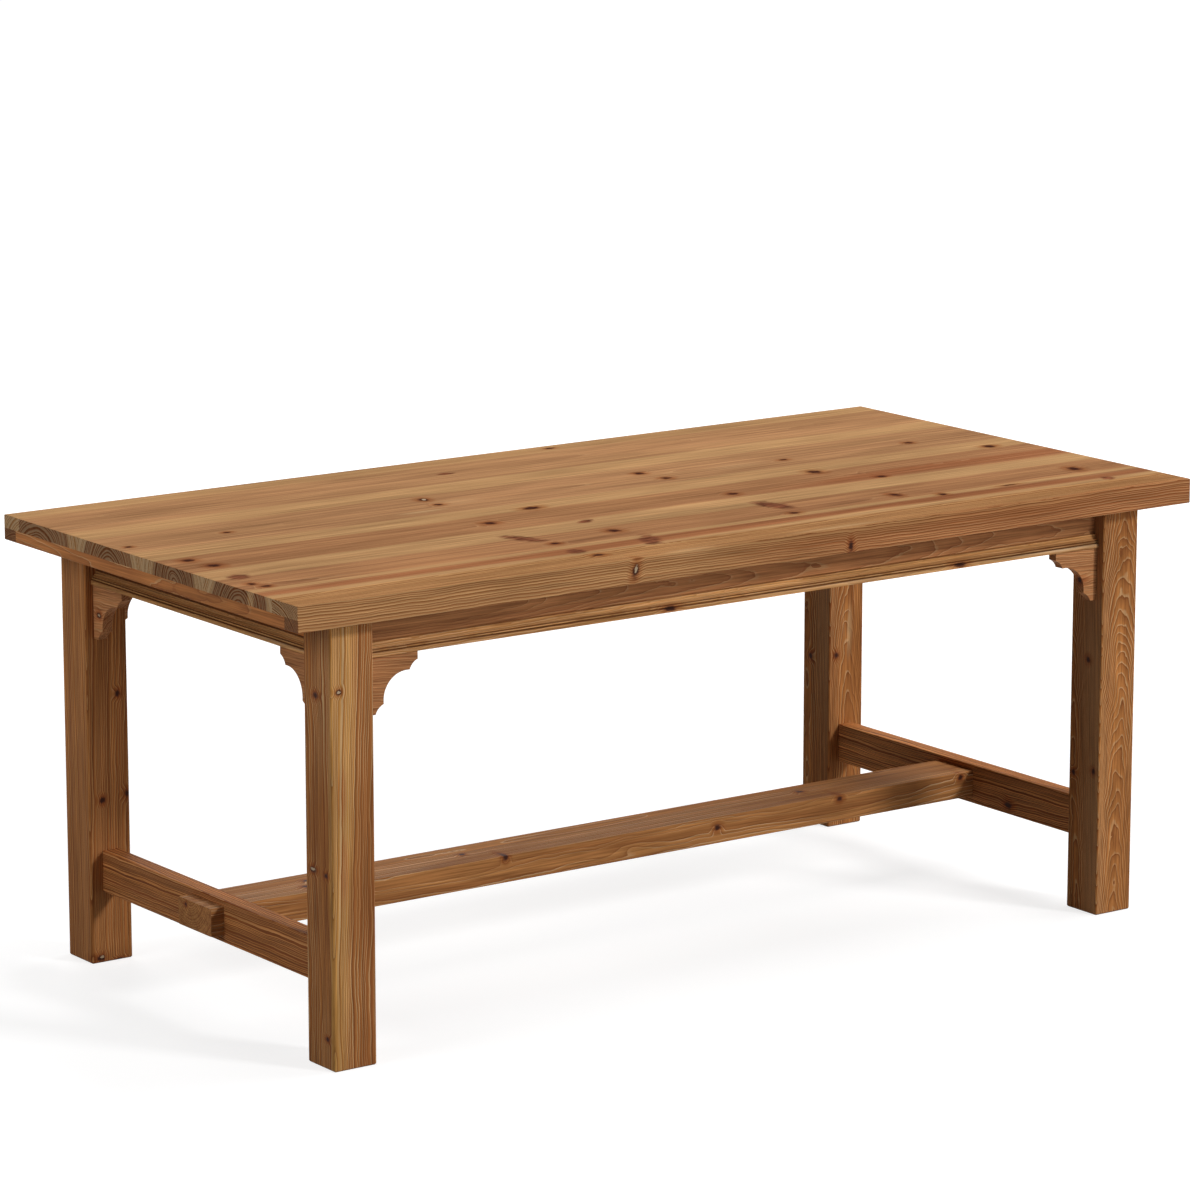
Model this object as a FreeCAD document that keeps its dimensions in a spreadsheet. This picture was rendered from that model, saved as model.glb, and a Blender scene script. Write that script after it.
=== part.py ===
import FreeCAD, Part
import os
import re
import Sketcher

# Farmhouse dining table. X runs along the table, Y across it with the front at -Y, and Z is up.
# The origin is on the floor, under the middle of the top. All sizes are in millimetres.

SIZES = {
    # Top: six boards from front to back, with strips under the rim
    "top_length": 1800,
    "board_thickness": 22,
    "board_1_width": 72,
    "board_2_width": 200,
    "board_3_width": 184,
    "board_4_width": 204,
    "board_5_width": 191,
    "board_6_width": 49,
    "strip_height": 20,
    "strip_leg_gap": 0.5,
    "arris_radius": 1.2,
    # Legs, and how far the top stands out past them
    "leg_height": 733,
    "leg_size": 78,
    "leg_edge_radius": 4,
    "leg_foot_chamfer": 2,
    "side_overhang": 38,
    "end_overhang": 82,
    # Aprons
    "apron_height": 87,
    "apron_thickness": 22,
    "apron_recess": 24,
    "apron_tenon_length": 20,
    "apron_tenon_thickness": 10,
    "apron_tenon_shoulder": 12,
    # Moulding on the aprons' lower edges
    "lip_depth": 12,
    "lip_face": 4.4,
    "lip_round": 2.2,
    "lower_bead_depth": 9.2,
    "upper_bead_depth": 3,
    "bead_height": 2.6,
    "bead_radius": 1.6,
    "quirk": 1.6,
    "moulding_fillet": 0.8,
    "cove_radius": 5,
    "moulding_cap_height": 1.6,
    # Corner brackets
    "bracket_thickness": 18,
    "bracket_proud": 8,
    "bracket_end_edge": 13.5,
    "bracket_small_cove": 15,
    "bracket_small_radius": 24,
    "bracket_fillet": 6,
    "bracket_large_cove": 42.5,
    "dowel_diameter": 8,
    "dowel_in_leg": 16,
    "dowel_in_bracket": 18,
    "dowel_upper_drop": 20,
    "dowel_lower_drop": 52,
    # Stretchers
    "stretcher_floor_gap": 122,
    "end_stretcher_height": 70,
    "end_stretcher_thickness": 31,
    "end_tenon_length": 36,
    "end_tenon_thickness": 14,
    "end_tenon_shoulder": 10,
    "centre_stretcher_width": 100,
    "centre_stretcher_height": 46,
    "centre_stretcher_rise": 13,
    "centre_stretcher_projection": 24,
    "stretcher_edge_radius": 1.5,
    # Cross battens under the top
    "batten_width": 70,
    "batten_thickness": 22,
    "batten_spacing": 800,
    "batten_end_gap": 3,
    "batten_screw_margin": 15,
    # Corner blocks and their bolts
    "block_thickness": 26,
    "block_height": 60,
    "block_drop": 3,
    "block_leg_gap": 0.5,
    "block_screw_seat": 11,
    "bolt_diameter": 8,
    "bolt_in_leg": 36,
    "bolt_spare": 5,
    "washer_diameter": 24,
    "washer_thickness": 2,
    "nut_width": 13,
    "nut_height": 6.5,
    # Buttons that hold the top to the aprons
    "button_width": 30,
    "button_depth": 34,
    "button_thickness": 22,
    "button_gap": 0.8,
    "button_tongue_length": 8,
    "button_tongue_thickness": 9,
    # Wood screws and fits
    "screw_diameter": 4,
    "screw_head_diameter": 8,
    "screw_tip": 4,
    "top_screw_length": 36,
    "block_screw_length": 26,
    "stretcher_screw_length": 40,
    "joint_clearance": 0.2,
}

BOARDS = 6

# Places worked out from the sizes. Each name may be used in the formulas after it.
PLACES = {
    "top_width": " + ".join(f"board_{number}_width" for number in range(1, BOARDS + 1)),
    "half_length": "top_length / 2",
    "half_width": "top_width / 2",
    "top_surface": "leg_height + board_thickness",
    "strip_width": "side_overhang - strip_leg_gap",
    "leg_outer_x": "half_length - end_overhang",
    "leg_inner_x": "leg_outer_x - leg_size",
    "leg_outer_y": "half_width - side_overhang",
    "leg_inner_y": "leg_outer_y - leg_size",
    "apron_bottom": "leg_height - apron_height",
    "apron_face_x": "leg_outer_x - apron_recess",
    "apron_back_x": "apron_face_x - apron_thickness",
    "apron_face_y": "leg_outer_y - apron_recess",
    "apron_back_y": "apron_face_y - apron_thickness",
    "bracket_face_x": "apron_face_x + bracket_proud",
    "bracket_face_y": "apron_face_y + bracket_proud",
    "lip_top": "lip_face + lip_round",
    "lower_bead_start": "lip_top + quirk",
    "lower_bead_end": "lower_bead_start + bead_height",
    "cove_edge": "upper_bead_depth + moulding_fillet + cove_radius",
    "cove_fillet": "lower_bead_end + quirk",
    "cove_start": "cove_fillet + moulding_fillet",
    "cove_end": "cove_start + cove_radius",
    "upper_bead_start": "cove_end + moulding_fillet",
    "upper_bead_end": "upper_bead_start + bead_height",
    "cap_depth": "upper_bead_depth - quirk",
    "moulding_top": "upper_bead_end + moulding_cap_height",
    "bracket_step": "bracket_end_edge + bracket_small_cove",
    "bracket_reach": "bracket_step + bracket_large_cove + bracket_fillet + bracket_small_cove",
    "stretcher_top": "stretcher_floor_gap + end_stretcher_height",
    "stretcher_outer_x": "leg_outer_x - (leg_size - end_stretcher_thickness) / 2",
    "stretcher_inner_x": "stretcher_outer_x - end_stretcher_thickness",
    "centre_bottom": "stretcher_floor_gap + centre_stretcher_rise",
    "centre_top": "centre_bottom + centre_stretcher_height",
    "centre_end_x": "stretcher_outer_x + centre_stretcher_projection",
    "batten_x": "batten_spacing / 2",
    "batten_end_y": "apron_back_y - batten_end_gap",
    "batten_bottom": "leg_height - batten_thickness",
    "batten_screw_reach": "batten_end_y - batten_screw_margin",
    "leg_corner": "leg_size - apron_recess - apron_thickness",
    "block_near": "2 * leg_corner + block_leg_gap * sqrt(2)",
    "block_far": "block_near + block_thickness * sqrt(2)",
    "block_top": "leg_height - block_drop",
    "block_bottom": "block_top - block_height",
    "block_middle": "block_top - block_height / 2",
    "block_screw_offset": "(block_near + block_far) / 2",
    "washer_seat": "block_leg_gap + block_thickness",
    "nut_seat": "washer_seat + washer_thickness",
    "bolt_end": "nut_seat + nut_height + bolt_spare",
    "button_bottom": "leg_height - button_thickness",
    "button_side_x": "(batten_x + leg_inner_x) / 2",
    "button_side_y": "leg_inner_y / 2",
    "screw_head_height": "(screw_head_diameter - screw_diameter) / 2",
}

WORD = re.compile(r"[a-z][a-z0-9_]*")
SIDES = {"front": -1, "back": 1}
ENDS = {"left": -1, "right": 1}
DOWEL_DROPS = ("dowel_upper_drop", "dowel_lower_drop")
X_AXIS = FreeCAD.Vector(1, 0, 0)
Y_AXIS = FreeCAD.Vector(0, 1, 0)
Z_AXIS = FreeCAD.Vector(0, 0, 1)
NEAR = 0.01

doc = FreeCAD.newDocument("farmhouse_table")
sheet = doc.addObject("Spreadsheet::Sheet", "Sizes")
for row, (alias, number) in enumerate(SIZES.items(), start=1):
    sheet.set(f"A{row}", alias)
    sheet.set(f"B{row}", str(number))
    sheet.setAlias(f"B{row}", alias)
doc.recompute()
nodes = []


def formula(text):
    """Expression with every size read from the sheet and every place written out."""
    def expand(match):
        word = match.group()
        if word in PLACES:
            return f"({formula(PLACES[word])})"
        return f"Sizes.{word}" if word in SIZES else word
    return WORD.sub(expand, text)


def value(text):
    """Number that a formula gives now."""
    return float(sheet.evalExpression(formula(text)))


def bind(item, prop, text):
    item.setExpression(prop, formula(text))


def place(item, x, y, z, rotation=None):
    """Put an object's own origin at three formulas, turned if a rotation is given."""
    if rotation is not None:
        item.Placement = FreeCAD.Placement(FreeCAD.Vector(), rotation)
    for axis, text in zip("xyz", (x, y, z)):
        bind(item, f"Placement.Base.{axis}", text)


def span(sign, near, far):
    """Low and high formula of a stretch that lies on one side of the middle."""
    return (near, far) if sign > 0 else (f"-({far})", f"-({near})")


def both(half):
    """Low and high formula of a stretch centred on the middle."""
    return f"-({half})", half


def about(middle, size):
    """Low and high formula of a stretch of a given size about its middle."""
    return f"{middle} - {size} / 2", f"{middle} + {size} / 2"


def node(label, item, solids=1):
    """Name a finished sub-part and note how many solids it holds."""
    item.Label = label
    nodes.append((item, solids))
    return item


def block(name, x, y, z):
    """Plain block between a low and a high formula on each axis."""
    item = doc.addObject("Part::Box", name)
    for prop, (low, high) in zip(("Length", "Width", "Height"), (x, y, z)):
        bind(item, prop, f"({high}) - ({low})")
    place(item, x[0], y[0], z[0])
    return item


def rod(name, diameter, length):
    """Round rod that stands on its own origin."""
    item = doc.addObject("Part::Cylinder", name)
    bind(item, "Radius", f"({diameter}) / 2")
    bind(item, "Height", length)
    return item


def cone(name, low_diameter, high_diameter, height):
    item = doc.addObject("Part::Cone", name)
    bind(item, "Radius1", f"({low_diameter}) / 2")
    bind(item, "Radius2", f"({high_diameter}) / 2")
    bind(item, "Height", height)
    return item


def fused(name, pieces):
    item = doc.addObject("Part::MultiFuse", name)
    item.Shapes = pieces
    return item


def group(name, pieces):
    item = doc.addObject("Part::Compound", name)
    item.Links = pieces
    return item


def cut(name, base, tools):
    item = doc.addObject("Part::Cut", name)
    item.Base = base
    item.Tool = group(f"{name}_tools", tools) if len(tools) > 1 else tools[0]
    return item


def arc_through(start, finish, radius, side):
    """Arc of under a half circle, bulging to the left (1) or right (-1) of the way from start to finish."""
    chord = finish - start
    half = chord.Length / 2
    rise = radius - (radius ** 2 - half ** 2) ** 0.5
    outward = FreeCAD.Vector(-chord.y, chord.x, 0).normalize()
    return Part.Arc(start, (start + finish) / 2 + outward * rise * side, finish)


def pin(sketch, name, item, end, x, y):
    """Hold a sketch point at two formulas."""
    if x == "0":
        sketch.addConstraint(Sketcher.Constraint("PointOnObject", item, end, -2))
    else:
        number = sketch.addConstraint(Sketcher.Constraint("DistanceX", -1, 1, item, end, value(x)))
        sketch.renameConstraint(number, f"{name}_x")
        bind(sketch, f"Constraints.{name}_x", x)
    if y == "0":
        sketch.addConstraint(Sketcher.Constraint("PointOnObject", item, end, -1))
    else:
        number = sketch.addConstraint(Sketcher.Constraint("DistanceY", -1, 1, item, end, value(y)))
        sketch.renameConstraint(number, f"{name}_y")
        bind(sketch, f"Constraints.{name}_y", y)


def outline(body, corners, arcs):
    """Closed sketch on the body's XY plane.

    corners are pairs of formulas; arcs gives a radius formula and a side for the stretch after that corner.
    """
    sketch = body.newObject("Sketcher::SketchObject", f"{body.Name}_outline")
    plane = next(item for item in body.Origin.OriginFeatures if item.Role == "XY_Plane")
    sketch.AttachmentSupport = (plane, [""])
    sketch.MapMode = "FlatFace"
    points = [FreeCAD.Vector(value(x), value(y), 0) for x, y in corners]
    ends = []
    for number, start in enumerate(points):
        finish = points[(number + 1) % len(points)]
        if number in arcs:
            radius, side = arcs[number]
            item = sketch.addGeometry(arc_through(start, finish, value(radius), side), False)
            limit = sketch.addConstraint(Sketcher.Constraint("Radius", item, value(radius)))
            sketch.renameConstraint(limit, f"radius_{number}")
            bind(sketch, f"Constraints.radius_{number}", radius)
        else:
            item = sketch.addGeometry(Part.LineSegment(start, finish), False)
        forward = sketch.getPoint(item, 1).isEqual(start, NEAR)
        ends.append((item, 1, 2) if forward else (item, 2, 1))
    for number, (x, y) in enumerate(corners):
        item, first, last = ends[number]
        following, following_first, following_last = ends[(number + 1) % len(corners)]
        sketch.addConstraint(Sketcher.Constraint("Coincident", item, last, following, following_first))
        pin(sketch, f"corner_{number}", item, first, x, y)
    return sketch


def profile(name, corners, thickness, arcs=None):
    """Body with an outline in its own XY plane, as thick as a formula says along its own Z."""
    body = doc.addObject("PartDesign::Body", name)
    pad = body.newObject("PartDesign::Pad", f"{name}_pad")
    pad.Profile = outline(body, corners, arcs or {})
    bind(pad, "Length", thickness)
    body.Tip = pad
    return body


def plank(name, x, y, z):
    """Straight board between a low and a high formula on each axis."""
    length, width, thickness = (f"({high}) - ({low})" for low, high in (x, y, z))
    body = profile(name, [("0", "0"), (length, "0"), (length, width), ("0", width)], thickness)
    place(body, x[0], y[0], z[0])
    return body


def dress_edges(body, kind, prop, size, test):
    """Round or chamfer the edges whose middle, in the body's own frame, passes a test."""
    doc.recompute()
    base = body.Tip
    names = [f"Edge{number}" for number, edge in enumerate(base.Shape.Edges, start=1) if test(edge)]
    feature = body.newObject(f"PartDesign::{kind}", f"{body.Name}_{kind.lower()}")
    feature.Base = (base, names)
    bind(feature, prop, size)
    body.Tip = feature


def runs_along(edge, axis):
    return abs(edge.tangentAt(edge.FirstParameter).dot(axis)) > 1 - NEAR


def screw(name, length, x, y, z, direction=Z_AXIS):
    """Countersunk wood screw with its head at the given place, and the hole that it sits in."""
    turn = FreeCAD.Rotation(Z_AXIS, direction)
    head = cone(f"{name}_head", "screw_head_diameter", "screw_diameter", "screw_head_height")
    shank = rod(f"{name}_shank", "screw_diameter", f"{length} - screw_head_height - screw_tip")
    place(shank, "0", "0", "screw_head_height")
    tip = cone(f"{name}_tip", "screw_diameter", "0", "screw_tip")
    place(tip, "0", "0", f"{length} - screw_tip")
    body = fused(name, [head, shank, tip])
    place(body, x, y, z, turn)
    seat = cone(f"{name}_seat", "screw_head_diameter + 2 * joint_clearance",
                "screw_diameter + 2 * joint_clearance", "screw_head_height")
    bore = rod(f"{name}_bore", "screw_diameter + 2 * joint_clearance", f"{length} + joint_clearance")
    hole = fused(f"{name}_hole", [seat, bore])
    place(hole, x, y, z, turn)
    return body, hole


def board_edge(number):
    """Formula of the front edge of a top board; the number after the last board gives the back edge."""
    return " + ".join(["-half_width"] + [f"board_{before}_width" for before in range(1, number)])


def board_middle(number):
    return f"{board_edge(number)} + board_{number}_width / 2"


def within(text, limit):
    """Formula held between a limit and its opposite."""
    return f"min(max({text}; -({limit})); {limit})"


def make_battens():
    """Cross battens with two screws into each board that they cross; returns the screws' holes."""
    screws = []
    holes = []
    for end, sign in ENDS.items():
        middle = f"{sign} * batten_x"
        blank = plank(f"batten_{end}_blank", about(middle, "batten_width"), both("batten_end_y"),
                      ("batten_bottom", "leg_height"))
        own_holes = []
        for number in range(2, BOARDS):
            for half, side in SIDES.items():
                y = f"{board_middle(number)} + {side} * board_{number}_width / 4"
                body, hole = screw(f"batten_screw_{end}_{number}_{half}", "top_screw_length", middle,
                                   within(y, "batten_screw_reach"), "batten_bottom")
                screws.append(body)
                own_holes.append(hole)
        node(f"cross_batten_{end}", cut(f"batten_{end}_cut", blank, own_holes))
        holes += own_holes
    node("batten_screws", group("batten_screw_group", screws), len(screws))
    return holes


def make_button(name, across, sign, middle):
    """Hooked wooden button at a long apron (across is "y") or an end apron ("x"), its screw and the hole."""
    back = f"apron_back_{across}"
    inner = span(sign, f"{back} - button_gap - button_depth", f"{back} - button_gap")
    hook = span(sign, f"{back} - button_gap", f"{back} - button_gap + button_tongue_length")
    along = about(middle, "button_width")
    body_z = ("button_bottom", "leg_height")
    hook_z = ("button_bottom", "button_bottom + button_tongue_thickness")
    screw_across = f"{sign} * ({back} - button_gap - button_depth / 2)"
    if across == "y":
        pieces = [block(f"{name}_body", along, inner, body_z), block(f"{name}_hook", along, hook, hook_z)]
        screw_x, screw_y = middle, screw_across
    else:
        pieces = [block(f"{name}_body", inner, along, body_z), block(f"{name}_hook", hook, along, hook_z)]
        screw_x, screw_y = screw_across, middle
    body, hole = screw(f"{name}_screw", "top_screw_length", screw_x, screw_y, "button_bottom")
    return cut(f"{name}_cut", fused(f"{name}_blank", pieces), [hole]), body, hole


def make_buttons():
    """Three buttons on each long apron and two on each end apron; returns the screws' holes."""
    buttons = []
    for side, sign in SIDES.items():
        for place_name, middle in (("left", "-(button_side_x)"), ("middle", "0"), ("right", "button_side_x")):
            buttons.append(make_button(f"button_{side}_{place_name}", "y", sign, middle))
    for end, sign in ENDS.items():
        for place_name, middle in (("front", "-(button_side_y)"), ("back", "button_side_y")):
            buttons.append(make_button(f"button_{end}_{place_name}", "x", sign, middle))
    bodies, screws, holes = (list(kind) for kind in zip(*buttons))
    node("top_buttons", group("button_group", bodies), len(bodies))
    node("button_screws", group("button_screw_group", screws), len(screws))
    return holes


def make_top_boards(holes):
    """Boards of the top, with eased upper edges round the rim and the fixing screws' holes below."""
    for number in range(1, BOARDS + 1):
        blank = plank(f"board_{number}_blank", both("half_length"),
                      (board_edge(number), board_edge(number + 1)), ("leg_height", "top_surface"))
        rim = {1: "0", BOARDS: f"board_{number}_width"}.get(number)

        def on_rim(edge, rim=rim):
            middle = edge.CenterOfMass
            if abs(middle.z - value("board_thickness")) > NEAR:
                return False
            return runs_along(edge, Y_AXIS) or (rim is not None and abs(middle.y - value(rim)) < NEAR)

        dress_edges(blank, "Fillet", "Radius", "arris_radius", on_rim)
        node(f"top_board_{number}", cut(f"board_{number}_cut", blank, holes))


def make_edge_strips():
    """Strips under the rim: two long ones and, between them, two at the ends."""
    height = ("leg_height - strip_height", "leg_height")
    for side, sign in SIDES.items():
        strip = plank(f"strip_{side}", both("half_length"),
                      span(sign, "half_width - strip_width", "half_width"), height)
        outer = "0" if sign < 0 else "strip_width"

        def on_rim(edge, outer=outer):
            middle = edge.CenterOfMass
            at_rim = runs_along(edge, Y_AXIS) or abs(middle.y - value(outer)) < NEAR
            return abs(middle.z) < NEAR and at_rim

        dress_edges(strip, "Fillet", "Radius", "arris_radius", on_rim)
        node(f"edge_strip_{side}", strip)
    for end, sign in ENDS.items():
        strip = plank(f"strip_{end}", span(sign, "half_length - strip_width", "half_length"),
                      both("half_width - strip_width"), height)
        outer = "0" if sign < 0 else "strip_width"

        def on_rim(edge, outer=outer):
            middle = edge.CenterOfMass
            return abs(middle.z) < NEAR and runs_along(edge, Y_AXIS) and abs(middle.x - value(outer)) < NEAR

        dress_edges(strip, "Fillet", "Radius", "arris_radius", on_rim)
        node(f"edge_strip_{end}", strip)


def mortise_for(name, x, y, z):
    """Block that leaves room for a tenon with the joint's clearance on every side."""
    loose = [(f"{low} - joint_clearance", f"{high} + joint_clearance") for low, high in (x, y, z)]
    return block(name, *loose)


def apron_tenon(across, side_sign, end_sign):
    """Extents of the tenon where a long apron (across is "y") or an end apron ("x") enters a leg."""
    cheek = "(apron_thickness - apron_tenon_thickness) / 2"
    height = ("apron_bottom + apron_tenon_shoulder", "leg_height - apron_tenon_shoulder")
    if across == "y":
        x = span(end_sign, "leg_inner_x", "leg_inner_x + apron_tenon_length")
        y = span(side_sign, f"apron_back_y + {cheek}", f"apron_face_y - {cheek}")
    else:
        x = span(end_sign, f"apron_back_x + {cheek}", f"apron_face_x - {cheek}")
        y = span(side_sign, "leg_inner_y", "leg_inner_y + apron_tenon_length")
    return x, y, height


def stretcher_tenon(side_sign, end_sign):
    """Extents of the tenon where an end stretcher enters a leg."""
    cheek = "(end_stretcher_thickness - end_tenon_thickness) / 2"
    x = span(end_sign, f"stretcher_inner_x + {cheek}", f"stretcher_outer_x - {cheek}")
    y = span(side_sign, "leg_inner_y", "leg_inner_y + end_tenon_length")
    return x, y, ("stretcher_floor_gap + end_tenon_shoulder", "stretcher_top - end_tenon_shoulder")


def dowel_place(across, side_sign, end_sign, drop):
    """Place and direction of a dowel that runs from inside a leg into a bracket."""
    z = f"apron_bottom - {drop}"
    if across == "y":
        x = f"{end_sign} * (leg_inner_x + dowel_in_leg)"
        return x, f"{side_sign} * (bracket_face_y - bracket_thickness / 2)", z, X_AXIS * -end_sign
    y = f"{side_sign} * (leg_inner_y + dowel_in_leg)"
    return f"{end_sign} * (bracket_face_x - bracket_thickness / 2)", y, z, Y_AXIS * -side_sign


def make_dowel(name, across, side_sign, end_sign, drop):
    """Dowel and the hole that it sits in, longer than the dowel by the clearance at each end."""
    x, y, z, direction = dowel_place(across, side_sign, end_sign, drop)
    turn = FreeCAD.Rotation(Z_AXIS, direction)
    dowel = rod(name, "dowel_diameter", "dowel_in_leg + dowel_in_bracket")
    place(dowel, x, y, z, turn)
    hole = rod(f"{name}_hole", "dowel_diameter + 2 * joint_clearance",
               "dowel_in_leg + dowel_in_bracket + 2 * joint_clearance")
    back_x = f"{x} - ({direction.x}) * joint_clearance"
    back_y = f"{y} - ({direction.y}) * joint_clearance"
    place(hole, back_x, back_y, z, turn)
    return dowel, hole


def make_bracket(name, across, side_sign, end_sign, holes):
    """Shaped bracket in the corner under an apron: coves and fillets between two square ends."""
    reach = "bracket_reach"
    step = "bracket_step"
    corners = [
        ("0", "0"),
        (reach, "0"),
        (reach, "bracket_end_edge"),
        (f"{reach} - bracket_small_cove", step),
        (f"{reach} - bracket_small_cove - bracket_fillet", step),
        (step, f"{step} + bracket_large_cove"),
        (step, f"{step} + bracket_large_cove + bracket_fillet"),
        ("bracket_end_edge", reach),
        ("0", reach),
    ]
    arcs = {2: ("bracket_small_radius", 1), 4: ("bracket_large_cove", 1), 6: ("bracket_small_radius", 1)}
    blank = profile(f"{name}_blank", corners, "bracket_thickness", arcs)
    away = X_AXIS * -end_sign if across == "y" else Y_AXIS * -side_sign
    down = Z_AXIS * -1
    through = away.cross(down)
    turn = FreeCAD.Rotation(away, down, through, "XYZ")
    if across == "y":
        grows_inward = through.y * side_sign < 0
        y = "bracket_face_y" if grows_inward else "bracket_face_y - bracket_thickness"
        place(blank, f"{end_sign} * leg_inner_x", f"{side_sign} * ({y})", "apron_bottom", turn)
    else:
        grows_inward = through.x * end_sign < 0
        x = "bracket_face_x" if grows_inward else "bracket_face_x - bracket_thickness"
        place(blank, f"{end_sign} * ({x})", f"{side_sign} * leg_inner_y", "apron_bottom", turn)
    node(name, cut(f"{name}_cut", blank, holes))


def hanger_axis(side_sign, end_sign, distance):
    """Formulas of the point on a corner's bolt axis, so far inward of the leg's inner corner."""
    x = f"{end_sign} * (leg_inner_x - ({distance}) / sqrt(2))"
    y = f"{side_sign} * (leg_inner_y - ({distance}) / sqrt(2))"
    return x, y, "block_middle"


def make_bolt(corner, side_sign, end_sign):
    """Hanger bolt through a corner block into the leg, its washer and nut, and the bolt's hole."""
    turn = FreeCAD.Rotation(Z_AXIS, FreeCAD.Vector(-end_sign, -side_sign, 0))
    bolt = rod(f"bolt_{corner}", "bolt_diameter", "bolt_in_leg + bolt_end")
    place(bolt, *hanger_axis(side_sign, end_sign, "-bolt_in_leg"), turn)
    hole = rod(f"bolt_hole_{corner}", "bolt_diameter + 2 * joint_clearance",
               "bolt_in_leg + bolt_end + joint_clearance")
    place(hole, *hanger_axis(side_sign, end_sign, "-bolt_in_leg - joint_clearance"), turn)
    washer = rod(f"washer_{corner}_blank", "washer_diameter", "washer_thickness")
    place(washer, *hanger_axis(side_sign, end_sign, "washer_seat"), turn)
    nut = doc.addObject("Part::Prism", f"nut_{corner}_blank")
    nut.Polygon = 6
    bind(nut, "Circumradius", "nut_width / sqrt(3)")
    bind(nut, "Height", "nut_height")
    place(nut, *hanger_axis(side_sign, end_sign, "nut_seat"), turn)
    return bolt, cut(f"washer_{corner}", washer, [hole]), cut(f"nut_{corner}", nut, [hole]), hole


def make_block(corner, side_sign, end_sign, bolt_hole):
    """Corner block behind a leg; returns its screws and holes, those of the long apron first."""
    corners = [("block_near", "0"), ("block_far", "0"), ("0", "block_far"), ("0", "block_near")]
    blank = profile(f"block_{corner}_blank", corners, "block_height")
    first, second = X_AXIS * -end_sign, Y_AXIS * -side_sign
    if first.cross(second).z < 0:
        first, second = second, first
    place(blank, f"{end_sign} * apron_back_x", f"{side_sign} * apron_back_y", "block_bottom",
          FreeCAD.Rotation(first, second, Z_AXIS, "XYZ"))
    screw_places = (
        ("long", "block_screw_offset", "block_screw_seat", Y_AXIS * side_sign),
        ("end", "block_screw_seat", "block_screw_offset", X_AXIS * end_sign),
    )
    cuts = [bolt_hole]
    screws = []
    holes = []
    for run, from_end_apron, from_long_apron, direction in screw_places:
        name = f"block_screw_{corner}_{run}"
        x = f"{end_sign} * (apron_back_x - {from_end_apron})"
        y = f"{side_sign} * (apron_back_y - {from_long_apron})"
        body, hole = screw(name, "block_screw_length", x, y, "block_middle", direction)
        access = rod(f"{name}_access", "screw_head_diameter + 2 * joint_clearance", "block_far")
        place(access, x, y, "block_middle", FreeCAD.Rotation(Z_AXIS, direction * -1))
        cuts += [hole, access]
        screws.append(body)
        holes.append(hole)
    node(f"corner_block_{corner}", cut(f"block_{corner}_cut", blank, cuts))
    return screws, holes


def make_leg(corner, side_sign, end_sign, holes):
    """Square leg with eased edges, mortises for the aprons and the end stretcher, and the given holes."""
    blank = plank(f"leg_{corner}_blank", span(end_sign, "leg_inner_x", "leg_outer_x"),
                  span(side_sign, "leg_inner_y", "leg_outer_y"), ("0", "leg_height"))
    dress_edges(blank, "Fillet", "Radius", "leg_edge_radius", lambda edge: runs_along(edge, Z_AXIS))
    dress_edges(blank, "Chamfer", "Size", "leg_foot_chamfer", lambda edge: abs(edge.CenterOfMass.z) < NEAR)
    mortises = [
        mortise_for(f"long_apron_mortise_{corner}", *apron_tenon("y", side_sign, end_sign)),
        mortise_for(f"end_apron_mortise_{corner}", *apron_tenon("x", side_sign, end_sign)),
        mortise_for(f"stretcher_mortise_{corner}", *stretcher_tenon(side_sign, end_sign)),
    ]
    node(f"leg_{corner}", cut(f"leg_{corner}_cut", blank, mortises + holes))


def make_corner(side, end, groups, apron_holes):
    """One leg with its brackets, block and bolt; small pieces and apron holes go into the given lists."""
    side_sign = SIDES[side]
    end_sign = ENDS[end]
    corner = f"{side}_{end}"
    bolt, washer, nut, bolt_hole = make_bolt(corner, side_sign, end_sign)
    groups["hanger_bolts"].append(bolt)
    groups["hanger_washers"].append(washer)
    groups["hanger_nuts"].append(nut)

    screws, holes = make_block(corner, side_sign, end_sign, bolt_hole)
    groups["corner_block_screws"] += screws
    for apron, hole in zip((side, end), holes):
        apron_holes[apron].append(hole)

    leg_holes = [bolt_hole]
    for across, run in (("y", "long"), ("x", "end")):
        bracket = f"bracket_{corner}_{run}"
        dowels = [make_dowel(f"{bracket}_{drop}", across, side_sign, end_sign, drop) for drop in DOWEL_DROPS]
        dowel_holes = [hole for dowel, hole in dowels]
        groups["bracket_dowels"] += [dowel for dowel, hole in dowels]
        make_bracket(bracket, across, side_sign, end_sign, dowel_holes)
        leg_holes += dowel_holes
    make_leg(corner, side_sign, end_sign, leg_holes)


def moulding_outline():
    """Corners of the moulding's section, depth outward and height upward, and its arcs."""
    corners = [
        ("0", "0"),
        ("lip_depth", "0"),
        ("lip_depth", "lip_face"),
        ("lip_depth - lip_round", "lip_top"),
        ("lower_bead_depth - quirk", "lip_top"),
        ("lower_bead_depth - quirk", "lower_bead_start"),
        ("lower_bead_depth", "lower_bead_start"),
        ("lower_bead_depth", "lower_bead_end"),
        ("lower_bead_depth - quirk", "lower_bead_end"),
        ("lower_bead_depth - quirk", "cove_fillet"),
        ("cove_edge", "cove_fillet"),
        ("cove_edge", "cove_start"),
        ("cove_edge - cove_radius", "cove_end"),
        ("upper_bead_depth", "cove_end"),
        ("upper_bead_depth", "upper_bead_start"),
        ("upper_bead_depth", "upper_bead_end"),
        ("cap_depth", "upper_bead_end"),
        ("cap_depth", "moulding_top"),
        ("0", "moulding_top"),
    ]
    arcs = {2: ("lip_round", -1), 6: ("bead_radius", -1), 11: ("cove_radius", 1), 14: ("bead_radius", -1)}
    return corners, arcs


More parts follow.
